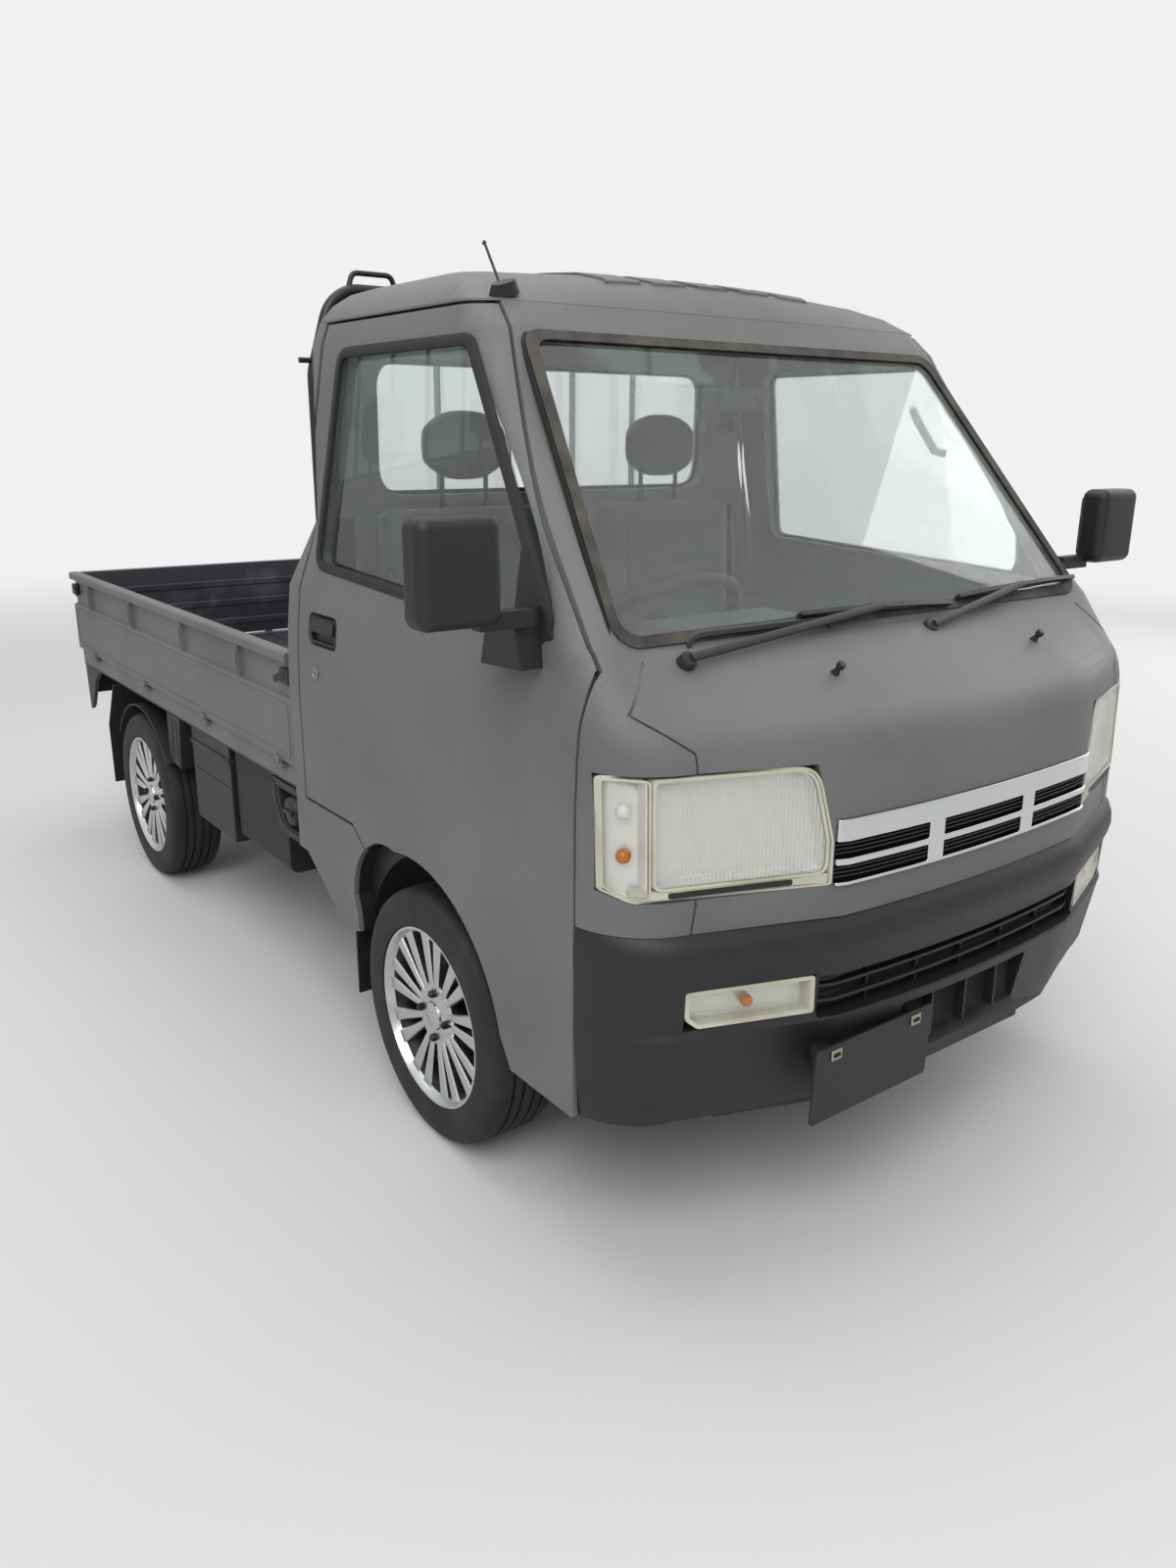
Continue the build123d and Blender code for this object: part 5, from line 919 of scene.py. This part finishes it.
WHEELS = (
    ("front", "right", -1, -911), ("front", "left", 1, -911),
    ("rear", "right", -1, 989), ("rear", "left", 1, 989),
)
turned_alloy, tree, shader = new_material("diamond_turned_aluminium", "#c6c8c9", 0.24, 1.0)
place = add_node(tree, "ShaderNodeTexCoord")
marks = add_node(tree, "ShaderNodeTexNoise", {
    "Vector": place.outputs["Object"], "Scale": 240.0, "Detail": 1.0})
gloss = add_node(tree, "ShaderNodeMapRange", {"Value": marks.outputs["Fac"], "To Min": 0.18, "To Max": 0.32})
tree.links.new(gloss.outputs["Result"], shader.inputs["Roughness"])
pocket_paint, tree, shader = new_material("dark_grey_wheel_paint", "#151617", 0.5, 0.2)
grain(tree, shader, 5, 0.05, 2.0, 0.42, 0.6)
nut_black, tree, shader = new_material("black_oxide_steel", "#141415", 0.35, 0.5)
grain(tree, shader, 2, 0.05)
hub_and_lip = bmesh.new()
lathe(hub_and_lip, RIM_LIP, HUB, AXLE, 96)
lathe(hub_and_lip, HUB_CAP, HUB, AXLE, 40)
lathe(hub_and_lip, HUB_RING, HUB, AXLE, 64)
settle(hub_and_lip)
bm = bmesh.new()
for lean in (-SPOKE_LEAN, SPOKE_LEAN):
    turned = Matrix.Rotation(radians(lean), 3, "X")
    loops = []
    for r, half_width, top in SPOKE:
        back, shoulder, face_edge = top - SPOKE_THICKNESS, top - SPOKE_EDGE[1], half_width - SPOKE_EDGE[0]
        form = ((-half_width, back), (-half_width, shoulder), (-face_edge, top),
                (face_edge, top), (half_width, shoulder), (half_width, back))
        loops.append([bm.verts.new(turned @ Vector((x, w, r))) for w, x in form])
    for one, two in zip(loops, loops[1:]):
        skin(bm, one, two)
    bm.faces.new(loops[0])
    bm.faces.new(loops[-1])
hub_and_lip.from_mesh(repeated(bm, "twin_spokes", turned_alloy, SPOKES, turn=2 * pi / SPOKES))
bright_face = plain_mesh(hub_and_lip, "bright_wheel_face")
bm = bmesh.new()
lathe(bm, BARREL, HUB, AXLE, 72)
lathe(bm, HUB_BACK, HUB, AXLE, 48)
settle(bm)
barrel = plain_mesh(bm, "wheel_barrel")
bm = bmesh.new()
lathe(bm, NUT, NUT_SPOT, AXLE, 6)
nuts = repeated(bm, "wheel_nuts", nut_black, NUTS, turn=2 * pi / NUTS)
WHEEL_PARTS = (  # mesh, start of the piece's name, finish, slot, start of the CAD node's name
    (casing, "tyre_casing_", tyre_rubber, "tyre", "tyre_"),
    (tread, "tread_blocks_", tyre_rubber, "tyre", None),
    (bright_face, "wheel_face_", turned_alloy, "alloy", "rim_"),
    (barrel, "wheel_barrel_", pocket_paint, "alloy", None),
    (nuts, "wheel_nuts_", nut_black, "steel", None),
)
for axle, side, s, y in WHEELS:
    spot = Matrix.Translation(Vector((s * WHEEL_X, y, WHEEL_RADIUS)) * MM) @ Matrix.Diagonal((s, 1, 1, 1))
    for mesh, name, material, slot, node_name in WHEEL_PARTS:
        own = mesh.copy()
        own.transform(spot)
        if s < 0:
            own.flip_normals()
        own.materials.clear()
        own.materials.append(material)
        corner = axle + "_" + side
        set_out(own, name + corner, "wheel_" + corner, (node_name + corner,) if node_name else ())

# Dashboard: grained grey vinyl skin over a moulded core, with a dark instrument hood, two round
# recesses in its top and a centre stack of vents, a blank radio plate and a glovebox lid.
# Vinyl is matt, with a leather grain; the darker parts are harder and a little smoother.
DASH_FACE = -1290
HOOD = ((-505, 1052), (-505, 1118, 30), (-160, 1118, 30), (-160, 1052))
HOOD_Y = -1335
VENTS = ((0, 985, 78, 34), (0, 930, 92, 26), (-590, 985, 34, 30), (590, 985, 34, 30))  # x, z, half-sizes
VENT_BLADES = 4
CUP_RECESS = ((0, 0.5), (42, 0.5), (44, 1), (50, 1), (51, 3), (46, 6), (44, 5), (42, 1.5), (0, 1.5))
GLOVEBOX = rectangle(200, 905, 520, 1010)
dash_vinyl, tree, shader = new_material("grained_dash_vinyl", "#737876", 0.55)
grain(tree, shader, 2.4, 0.25, 2.0, 0.48, 0.66)
dress("dashboard", "dashboard_shell", dash_vinyl, crease=32, edge=8)
dark_vinyl, tree, shader = new_material("dark_grained_dash_vinyl", "#3c4040", 0.6)
grain(tree, shader, 2.4, 0.25, 2.0, 0.5, 0.7)
bm = bmesh.new()
hood = rounded(HOOD, 6)
sweep(bm, [(p.x, HOOD_Y, p.y) for p in hood], bar(4, -95, 55), (0, 1, 0), True)
patch(bm, inset(hood, 3), upright(HOOD_Y - 37), 0, 5, 3)
for x, z, w, h in VENTS:
    vent = rounded(rectangle(x - w, z - h, x + w, z + h), 6)
    ring(bm, vent, inset(vent, 5), upright(DASH_FACE + 1), 5, 8)
    for k in range(1, VENT_BLADES + 1):
        level = z - h + 2 * h * k / (VENT_BLADES + 1)
        blade = [(x - w + 4, DASH_FACE + 2, level), (x + w - 4, DASH_FACE + 2, level)]
        sweep(bm, blade, bar(1.5, -3, 5), (0, 1, 0))
for x in (-62, 240):
    lathe(bm, CUP_RECESS, (x, -1380, 1059), (0, 0.035, 1), 36)
finish_piece(bm, "dash_hood_and_vents", dark_vinyl, "chassis")
bm = bmesh.new()
lid = rounded(GLOVEBOX, 12)
ring(bm, lid, inset(lid, 2.5), upright(DASH_FACE), 1.5, 2)
box_form(bm, (340, DASH_FACE - 2, 990), (380, DASH_FACE + 10, 1002), 3)
finish_piece(bm, "glovebox_lid_seam", dark_vinyl, "chassis")

# Steering wheel: moulded urethane grip on a steel ring, three spokes and a soft boss pad on the
# raked column. Urethane is near black, with a soft sheen.
COLUMN = Vector((0, 0.6, 0.8))
WHEEL_CENTRE = Vector((-330, -1120, 1075))
GRIP_RADIUS = 178
GRIP_THICKNESS = 12
BOSS = ((0, -40), (24, -40), (26, -16), (46, -14), (54, -4), (50, 5), (38, 9), (0, 10))
urethane, tree, shader = new_material("moulded_black_urethane", "#232423", 0.6)
grain(tree, shader, 1.6, 0.15, 2.0, 0.5, 0.68)
across, down = Vector((1, 0, 0)), Vector((0, 0.8, -0.6))
bm = bmesh.new()
grip = []
for k in range(60):
    turn = 2 * pi * k / 60
    grip.append(WHEEL_CENTRE + (across * cos(turn) + down * sin(turn)) * GRIP_RADIUS)
sweep(bm, grip, GRIP_THICKNESS, COLUMN, True)
lathe(bm, BOSS, WHEEL_CENTRE, COLUMN, 36)
for turn in (0, 90, 180):
    way = across * cos(radians(turn)) + down * sin(radians(turn))
    spoke = [WHEEL_CENTRE + way * 30, WHEEL_CENTRE + way * 100 - COLUMN * 3, WHEEL_CENTRE + way * 174]
    sweep(bm, spoke, bar(16, -5, 4, 14), COLUMN)
finish_piece(bm, "steering_wheel_grip", urethane, "steering_wheel", ("steering_wheel",))

# Seats: foam cushions and backs under a grey woven cover with sewn channels, and small headrests
# on steel posts. The cover is blown up against its seams by the cloth solver. The weave is about
# 1 mm; it is drawn at about 3 mm so that it shows, and gives a soft, dull face.
SEAT_X = 300
SEAT_HALF = 240
PRESSURE = 4.0
PAD_LIMIT = 9 * MM
PAD_VOXEL = 11 * MM
PAD_FRAMES = 12
PAD_CORNER = 28
PAD_SEAM = 14
CUSHION = ((-1010, 652), (-490, 652), (-490, 758), (-1010, 760))
BACK = ((-466, 676), (-364, 676), (-353, 1262), (-428, 1280))
HEADREST = ((-418, 1328), (-358, 1328), (-358, 1482), (-418, 1482))
CHANNEL_WIDTH = 12
CHANNEL_DEPTH = 6
POST_PLACES = (240, 360)
seat_cloth, tree, shader = new_material("woven_grey_seat_cloth", "#777c7b", 0.9, Sheen_Weight=0.3)
place = add_node(tree, "ShaderNodeTexCoord")
warp, weft = [
    add_node(tree, "ShaderNodeTexWave", {
        "Vector": place.outputs["Object"], "Scale": 90.0, "Distortion": 0.6}, bands_direction=direction)
    for direction in ("X", "DIAGONAL")
]
weave = add_node(tree, "ShaderNodeMath", {
    0: warp.outputs["Fac"], 1: weft.outputs["Fac"]}, operation="MULTIPLY")
bump = add_node(tree, "ShaderNodeBump", {"Height": weave.outputs[0], "Distance": 0.5 * MM, "Strength": 0.7})
tree.links.new(bump.outputs["Normal"], shader.inputs["Normal"])
mixed = add_node(tree, "ShaderNodeMix", {
    "Factor": weave.outputs[0], "A": tone("#4d5151"), "B": tone("#6b6f6e")}, data_type="RGBA")
tree.links.new(mixed.outputs["Result"], shader.inputs["Base Color"])


def pad(name, corners, low, high, shape, replaced=()):
    """Cushion: a rounded block with its own outline, blown up by cloth pressure and smoothed."""
    bm = bmesh.new()
    outline = rounded(corners, PAD_CORNER, 4)
    loops = []
    for x, draw in (
        (low, PAD_SEAM), (low + PAD_SEAM, 3), (low + 40, 0),
        (high - 40, 0), (high - PAD_SEAM, 3), (high, PAD_SEAM),
    ):
        loops.append([bm.verts.new((x, p.x, p.y)) for p in inset(outline, draw)])
    for one, two in zip(loops, loops[1:]):
        skin(bm, one, two)
    bm.faces.new(loops[0])
    bm.faces.new(loops[-1])
    piece = finish_piece(bm, name, seat_cloth, "chassis", replaced, 60)
    remesh = piece.modifiers.new("voxels", "REMESH")
    remesh.mode = "VOXEL"
    remesh.voxel_size = PAD_VOXEL
    bpy.context.view_layer.objects.active = piece
    bpy.ops.object.modifier_apply(modifier=remesh.name)
    start = [v.co.copy() for v in piece.data.vertices]
    cloth = piece.modifiers.new("cover", "CLOTH")
    cloth.settings.use_pressure = True
    cloth.settings.uniform_pressure_force = PRESSURE
    cloth.settings.effector_weights.gravity = 0.0
    for frame_number in range(1, PAD_FRAMES + 1):
        scene.frame_set(frame_number)
    bpy.ops.object.modifier_apply(modifier=cloth.name)
    scene.frame_set(1)
    for v, old in zip(piece.data.vertices, start):
        moved = v.co - old
        v.co = old + moved * min(1.0, PAD_LIMIT / max(moved.length, 1e-9))
    for v in piece.data.vertices:
        v.co += shape(v.co / MM) * MM
    for face in piece.data.polygons:
        face.use_smooth = True
    soft = piece.modifiers.new("smooth_cover", "SUBSURF")
    soft.levels = soft.render_levels = 1
    return piece


def channel(at, lines):
    """Sewn channels across a cushion: how far its cover is pulled in at a place."""
    return -CHANNEL_DEPTH * sum(max(0.0, 1 - abs(at - line) / CHANNEL_WIDTH) ** 2 for line in lines)


def seat_shape(s):
    """Cushion cover pulled down along its sewn lines and dished in the middle."""
    def moved(p):
        if p.z < 735:
            return Vector((0, 0, 0))
        share = min((p.z - 735) / 30, 1.0)
        from_middle = abs(p.x - s * SEAT_X)
        side = from_middle / SEAT_HALF
        dip = channel(p.y, (-860, -740, -620)) if side < 0.62 else 0.0
        return Vector((0, 0, share * (dip + channel(from_middle, (150,)) - 6 * (1 - side ** 2))))
    return moved


def back_shape(s):
    """Back cover pulled in along its sewn lines, with raised side bolsters."""
    def moved(p):
        from_middle = abs(p.x - s * SEAT_X)
        side = from_middle / SEAT_HALF
        front = 1.0 if p.y < -395 else 0.0
        dip = channel(p.z, (860, 980, 1100)) if side < 0.62 else 0.0
        return Vector((0, -front * (dip + channel(from_middle, (150,)) - 4 * (1 - side ** 2)), 0))
    return moved


def headrest_shape(s):
    """Rounds the corners of a headrest."""
    def moved(p):
        across, up = (p.x - s * SEAT_X) / 108, (p.z - 1405) / 77
        return Vector((-30 * across * up ** 4, 0, -24 * up * across ** 4))
    return moved


for side, s in SIDES:
    lo, hi = sorted((s * 68, s * 532))
    pad("seat_cushion_" + side, CUSHION, lo, hi, seat_shape(s), once(s, "seat_cushions"))
    pad("seat_back_" + side, BACK, lo, hi, back_shape(s), once(s, "seat_backs"))
    lo, hi = sorted((s * 192, s * 408))
    pad("headrest_" + side, HEADREST, lo, hi, headrest_shape(s))
post_steel, tree, shader = new_material("black_lacquered_steel_tube", "#1c1c1d", 0.35, 0.2)
grain(tree, shader, 4, 0.03)
bm = bmesh.new()
for s in (-1, 1):
    for x in POST_PLACES:
        sweep(bm, [(s * x, -384, 1262), (s * x, -384, 1340)], 6)
        lathe(bm, ((0, 0), (11, 0), (10, 9), (0, 9)), (s * x, -388, 1268), (0, 0, 1), 16)
finish_piece(bm, "headrest_posts", post_steel, "chassis")

# Small cab fittings: driving mirror on the header, sun visors, a grab handle on the left pillar,
# belt reels, and the gear lever with its gaiter between the seats; all dark moulded plastic
GRAB_HANDLE = ((560, -1100, 1395), (540, -1085, 1400), (530, -1035, 1470), (545, -1010, 1490))
BELT = ((575, -338, 1480), (596, -345, 1100), (600, -352, 760))
LEVER_KNOB = ((0, 0), (14, 0), (19, 14), (18, 30), (10, 42), (0, 44))
GAITER = ((0, 0), (58, 0), (50, 14), (30, 50), (12, 84), (0, 84))
LEVER_X = -20
bm = bmesh.new()
box_form(bm, (-90, -985, 1478), (90, -965, 1530), 7)
sweep(bm, [(0, -975, 1530), (0, -985, 1590)], 6)
for s in (-1, 1):
    box_form(bm, (s * 130, -1005, 1598), (s * 480, -870, 1612), 6)
sweep(bm, GRAB_HANDLE, 9)
for s in (-1, 1):
    sweep(bm, on_side(s, BELT), bar(22, -1, 1), (0, -1, 0))
    box_form(bm, (s * 575 - 26, -352, 1440), (s * 575 + 26, -334, 1500), 5)
lathe(bm, LEVER_KNOB, (LEVER_X, -1090, 905), (0, 0.2, 1), 24)
sweep(bm, [(LEVER_X, -1150, 660), (LEVER_X, -1130, 760), (LEVER_X, -1092, 906)], 6)
lathe(bm, GAITER, (LEVER_X, -1160, 640), (0, 0.15, 1), 28)
finish_piece(bm, "cab_fittings", dark_vinyl, "chassis")

# Door trim: mid-grey moulded door cards with a dark armrest and a window winder on each door.
# The card is matt, with the same grain as the dashboard.
DOOR_CARD = ((-470, 640), (-470, 1125), (-1290, 1085), (-1290, 900), (-1180, 640))
ARMREST_PATH = ((-1130, 900), (-1080, 925), (-760, 930), (-700, 905))
ARMREST = ((-20, -18), (-20, 12), (-14, 18), (14, 18), (20, 12), (20, -18))
WINDER = ((0, 0), (17, 0), (17, 8), (9, 10), (9, 18), (0, 19))
door_card, tree, shader = new_material("moulded_grey_door_card", "#666b6b", 0.65)
grain(tree, shader, 2.4, 0.2, 2.0, 0.58, 0.72)
for side, s in SIDES:
    skin_at = flank(s)
    bm = bmesh.new()
    patch(bm, rounded(DOOR_CARD, 24), skin_at, -41, 4, 4)
    finish_piece(bm, "door_card_" + side, door_card, "door_" + side)
    bm = bmesh.new()
    sweep(bm, [skin_at(y, z, -62) for y, z in ARMREST_PATH], ARMREST, (-s, 0, 0))
    lathe(bm, WINDER, skin_at(-980, 820, -45), (-s, 0, 0), 24)
    sweep(bm, [skin_at(-980, 820, -58), skin_at(-1040, 790, -60)], 6)
    finish_piece(bm, "door_armrest_" + side, dark_vinyl, "door_" + side)

# Load bed: welded steel floor in worn dark enamel with pressed lengthwise ribs, grey outer sills
# with hinge barrels, and a grey headboard below a black tube guard with rope hooks. The enamel
# is rubbed to a paler grey in patches; the tube is smooth and glossier.
BED_RIBS = 11
BED_RIB_STEP = 116
BED_FRONT, BED_BACK = -238, 1652
HEADBOARD_X = 694
bed_enamel, tree, shader = new_material("worn_dark_bed_enamel", "#2b2e34", 0.5)
place = grain(tree, shader, 5, 0.2, 4.0, 0.42, 0.7)
mottle(tree, shader, place, 5.0, 9.0, (0.52, 0.7), "#282b32", "#4b4d50", Roughness=0.7)
bm = bmesh.new()
box_form(bm, (-26, BED_FRONT, 655.5), (26, BED_BACK, 659.0), 1.2)
first_rib = (-BED_RIB_STEP * (BED_RIBS - 1) / 2, 0, 0)
ribs = repeated(bm, "bed_floor_ribs", bed_enamel, BED_RIBS, step=(BED_RIB_STEP, 0, 0), shift=first_rib)
set_out(ribs, "bed_floor_ribs", "chassis")
dress("bed_floor", "bed_floor_pressing", textured_grey, edge=1.2)
bm = bmesh.new()
box_form(bm, (-689, BED_FRONT - 10, 654.5), (689, BED_BACK + 6, 656.6), 0.5)
finish_piece(bm, "bed_floor_enamel", bed_enamel, "chassis")
guard_black, tree, shader = new_material("stove_enamelled_black_tube", "#1f2021", 0.4)
grain(tree, shader, 8, 0.1, 3.0, 0.32, 0.52)
dress("cab_guard", "tube_guard", guard_black, crease=32, edge=1.0)
bm = bmesh.new()
box_form(bm, (-HEADBOARD_X, -283.5, 655), (HEADBOARD_X, -281.5, 939), 0.8)
box_form(bm, (-HEADBOARD_X, -256.5, 660), (HEADBOARD_X, -255.0, 939), 0.8)
box_form(bm, (-HEADBOARD_X, -284, 930), (HEADBOARD_X, -254, 943), 4)
finish_piece(bm, "headboard_panel", textured_grey, "chassis")

# Gates: the inner face in the same worn enamel, with pressed ribs along it; outside, a border
# pressed round each long panel, stake loops under the rail, and black over-centre latches
GATE_RIBS = (715, 790, 865)
GATE_RIB = bar(14, -1, 4.5, 9)
GATE_FACE_X = 728
TAILGATE_FACE_Y = 1691
SIDE_BORDER = rectangle(-262, 682, 1674, 812)
TAIL_BORDER = rectangle(-670, 682, 670, 812)
SIDE_LOOPS = (49, 493, 990, 1474)
TAIL_LOOPS = (-460, -160, 160, 460)
STAKE_LOOP = ((-11, 836), (-1, 842), (1, 870), (-1, 898), (-10, 906))  # out from the face, z
LATCHES = ((-258, 1), (1664, -1))


def beside(s, x):
    """Flat surface along side s of the truck at a distance x from its middle, facing outward."""
    return lambda y, z, lift: Vector((s * (x + lift), y, z))


for side, s in SIDES:
    body = "side_gate_" + side
    bm = bmesh.new()
    box_form(bm, (s * 700.6, -252, 668), (s * 702.2, 1660, 938), 0.7)
    for z in GATE_RIBS:
        sweep(bm, [(s * 702, -240, z), (s * 702, 1650, z)], GATE_RIB, (-s, 0, 0))
    finish_piece(bm, "gate_lining_" + side, bed_enamel, body)
    bm = bmesh.new()
    border = rounded(SIDE_BORDER, 16)
    ring(bm, inset(border, -5), inset(border, 5), beside(s, GATE_FACE_X), 1.6, 3)
    for y in SIDE_LOOPS:
        sweep(bm, [(s * (GATE_FACE_X + out), y, z) for out, z in STAKE_LOOP], bar(5, -3, 3), (0, 1, 0))
    sweep(bm, [(s * 725, -281, 934), (s * 725, 1690, 934)], 6.8)
    finish_piece(bm, "gate_border_" + side, textured_grey, body)
    bm = bmesh.new()
    for y, way in LATCHES:
        box_form(bm, (s * 716, y - 26, 862), (s * 731, y + 26, 900), 4)
        handle = [(s * 730, y - 8 * way, 884), (s * 733, y + 18 * way, 880), (s * 734, y + 48 * way, 868)]
        sweep(bm, handle, bar(8, -3, 2), (s, 0, 0))
    finish_piece(bm, "gate_latches_" + side, moulded_black, body)
bm = bmesh.new()
box_form(bm, (-692, 1664.6, 668), (692, 1666.2, 938), 0.7)
for z in GATE_RIBS:
    sweep(bm, [(-684, 1665, z), (684, 1665, z)], GATE_RIB, (0, -1, 0))
finish_piece(bm, "tailgate_lining", bed_enamel, "tailgate")
bm = bmesh.new()
border = rounded(TAIL_BORDER, 16)
ring(bm, inset(border, -5), inset(border, 5), upright(TAILGATE_FACE_Y), 1.6, 3)
for x in TAIL_LOOPS:
    sweep(bm, [(x, TAILGATE_FACE_Y + out, z) for out, z in STAKE_LOOP], bar(5, -3, 3), (1, 0, 0))
finish_piece(bm, "tailgate_border", textured_grey, "tailgate")

# Rear fenders, corner brackets and mud flaps: grey pressed brackets ahead of the wheel, black
# moulded guards over it and sheet rubber flaps behind
BRACKET = ((616, 602), (732, 602), (738, 472), (734, 449), (644, 444))
BRACKET_X = 716
BRACKET_RIBS = (652, 690)
dress("rear_fenders", "fenders_and_flaps", moulded_black, edge=0.8)
bm = bmesh.new()
for s in (-1, 1):
    patch(bm, rounded(BRACKET, 5), beside(s, BRACKET_X), 2, 4, 3)
    for y in BRACKET_RIBS:
        rib = [(s * (BRACKET_X + 1), y, 590), (s * (BRACKET_X + 1), y + 8, 470)]
        sweep(bm, rib, bar(6, -1, 3, 4), (s, 0, 0))
finish_piece(bm, "fender_brackets", textured_grey, "chassis")

# Tail lamps: a black moulded tray with red, amber and clear acrylic lenses in one row, fixed
# under the tail of the bed. The acrylic is clear enough to look deep, with fine prisms in the red.
TAIL_LAMP_Y = 1668
red_acrylic, tree, shader = new_material("red_moulded_acrylic", "#8f1512", 0.12, Transmission_Weight=0.25)
fluting(tree, shader, 40.0, 0.5, 0.7)
amber_acrylic, tree, shader = new_material("amber_moulded_acrylic", "#c86a12", 0.12, Transmission_Weight=0.25)
grain(tree, shader, 5, 0.2)
white_acrylic, tree, shader = new_material(
    "clear_reversing_acrylic", "#d8dad8", 0.12, Transmission_Weight=0.25)
grain(tree, shader, 5, 0.2)
TAIL_LENSES = (  # name, finish, inner and outer edge
    ("red", red_acrylic, 588, 692), ("amber", amber_acrylic, 532, 584), ("white", white_acrylic, 480, 528),
)
bm = bmesh.new()
for s in (-1, 1):
    box_form(bm, (s * 471, 1632, 501), (s * 699, TAIL_LAMP_Y, 605), 5)
finish_piece(bm, "tail_lamp_trays", moulded_black, "chassis", ("tail_lamps",))
for name, acrylic, inner, outer in TAIL_LENSES:
    bm = bmesh.new()
    for s in (-1, 1):
        lens = rounded(on_side(s, rectangle(inner, 510, outer, 597)), 6)
        patch(bm, lens, upright(TAIL_LAMP_Y), 7, 8, 4)
    finish_piece(bm, "tail_lens_" + name, acrylic, "chassis")

# Battery box: moulded black box with a lipped lid and a row of short vent slots on its face,
# strapped to the frame behind the cab
BATTERY_SLOTS = 10
BATTERY_SLOT_STEP = 28
dress("battery_box", "battery_box_case", moulded_black, edge=3)
bm = bmesh.new()
box_form(bm, (-704, 248, 540), (-486, 570, 556), 3)
finish_piece(bm, "battery_box_lid", moulded_black, "chassis")
# The vent slots are thin near-black blocks on the face of the box: painted shade.
bm = bmesh.new()
box_form(bm, (-701, -8, -2.2), (-699, 8, 2.2), 1)
vents = repeated(bm, "battery_box_slots", painted_shade_black, BATTERY_SLOTS,
                 step=(0, BATTERY_SLOT_STEP, 0), shift=(0, 283, 470))
set_out(vents, "battery_box_slots", "chassis")

# Fuel tank: welded steel brushed with chassis black, which dries uneven and dull. Its filler
# sits in a pressed grey frame with a dark screw cap.
FILLER_FRAME = (
    (-294, 603, 3), (-112, 603, 10), (-118, 530, 30), (-148, 484, 30), (-200, 466, 20), (-294, 466, 3),
)
FILLER_CAP = ((0, -30), (38, -30), (38, -6), (34, 2), (26, 5), (0, 6))
FILLER_SPOT = (-726, -236, 540)
chassis_black, tree, shader = new_material("brushed_on_chassis_black", "#1d1e1f", 0.6)
grain(tree, shader, 12, 0.4, 4.0, 0.5, 0.8)
dress("fuel_tank", "fuel_tank_and_filler", chassis_black, edge=1.5)
filler = rounded(FILLER_FRAME, 6)
bm = bmesh.new()
ring(bm, filler, inset(filler, 17), beside(-1, 720), 2, 26)
patch(bm, inset(filler, 15), beside(-1, 692), 0, 3, 4)
finish_piece(bm, "filler_frame", textured_grey, "chassis")
bm = bmesh.new()
lathe(bm, FILLER_CAP, FILLER_SPOT, (-1, 0, 0), 40)
sweep(bm, [(-733, -262, 540), (-733, -210, 540)], bar(6, -4, 4, 5), (-1, 0, 0))
finish_piece(bm, "filler_cap", moulded_black, "chassis")

# Running gear: frame, axles, springs and tank straps brushed with chassis black; the engine and
# hubs are bare castings, rough and grey; the exhaust is aluminised tube browned by heat
ENGINE_NOSE = ((0, 0), (31, 0), (31, 4), (26, 6), (22, 18), (25, 30), (20, 46), (0, 48))
ENGINE_RIBS = 5
ENGINE_RIB_STEP = 150
cast_iron, tree, shader = new_material("bare_grey_casting", "#55544f", 0.65, 0.6)
grain(tree, shader, 3, 0.3, 3.0, 0.55, 0.8)
exhaust_steel, tree, shader = new_material("heat_browned_aluminised_steel", "#6a5f54", 0.55, 0.8)
grain(tree, shader, 20, 0.1, 5.0, 0.45, 0.75)
for node_name, metal, slot in (
    ("ladder_frame", chassis_black, "frame_black"), ("rear_axle", chassis_black, "frame_black"),
    ("front_suspension", chassis_black, "frame_black"), ("engine", cast_iron, "cast_metal"),
    ("exhaust", exhaust_steel, "steel"), ("spare_wheel", tyre_rubber, "tyre"),
):
    dress(node_name, "dressed_" + node_name, metal, edge=1.5)
for side, s in SIDES:
    knuckle = "knuckle_" + side
    dress(knuckle, "dressed_" + knuckle, cast_iron, knuckle, edge=1.2)
bm = bmesh.new()
for s in (-1, 1):
    lathe(bm, ENGINE_NOSE, (s * 180, -1096, 470), (0, -1, 0), 24)
for k in range(ENGINE_RIBS):
    y = -1080 + ENGINE_RIB_STEP * k
    box_form(bm, (-170, y, 586), (170, y + 20, 600), 3)
box_form(bm, (-150, -1094, 340), (150, -1088, 540), 3)
finish_piece(bm, "engine_cover_ribs", cast_iron, "chassis")

# Other nodes: those that keep their own CAD mesh take the finish of their slot, so that no piece
# is left in a plain grey
by_slot = {
    "body_grey": textured_grey, "frame_black": chassis_black, "bed_paint": bed_enamel,
    "bumper_black": moulded_black, "trim_black": moulded_black, "dash_grey": dash_vinyl,
    "seat_cloth": seat_cloth, "rubber": moulded_rubber, "tyre": tyre_rubber, "alloy": turned_alloy,
    "glass": laminated_glass, "lamp_clear": clear_lens, "lamp_red": red_acrylic,
    "chrome": bright_chrome, "cast_metal": cast_iron, "steel": chassis_black,
}
for part in frame["record"]["subparts"]:
    holder = nodes[part["node"]]
    if not holder.hide_render:
        holder.data.materials.clear()
        holder.data.materials.append(by_slot[part["material_slot"]])
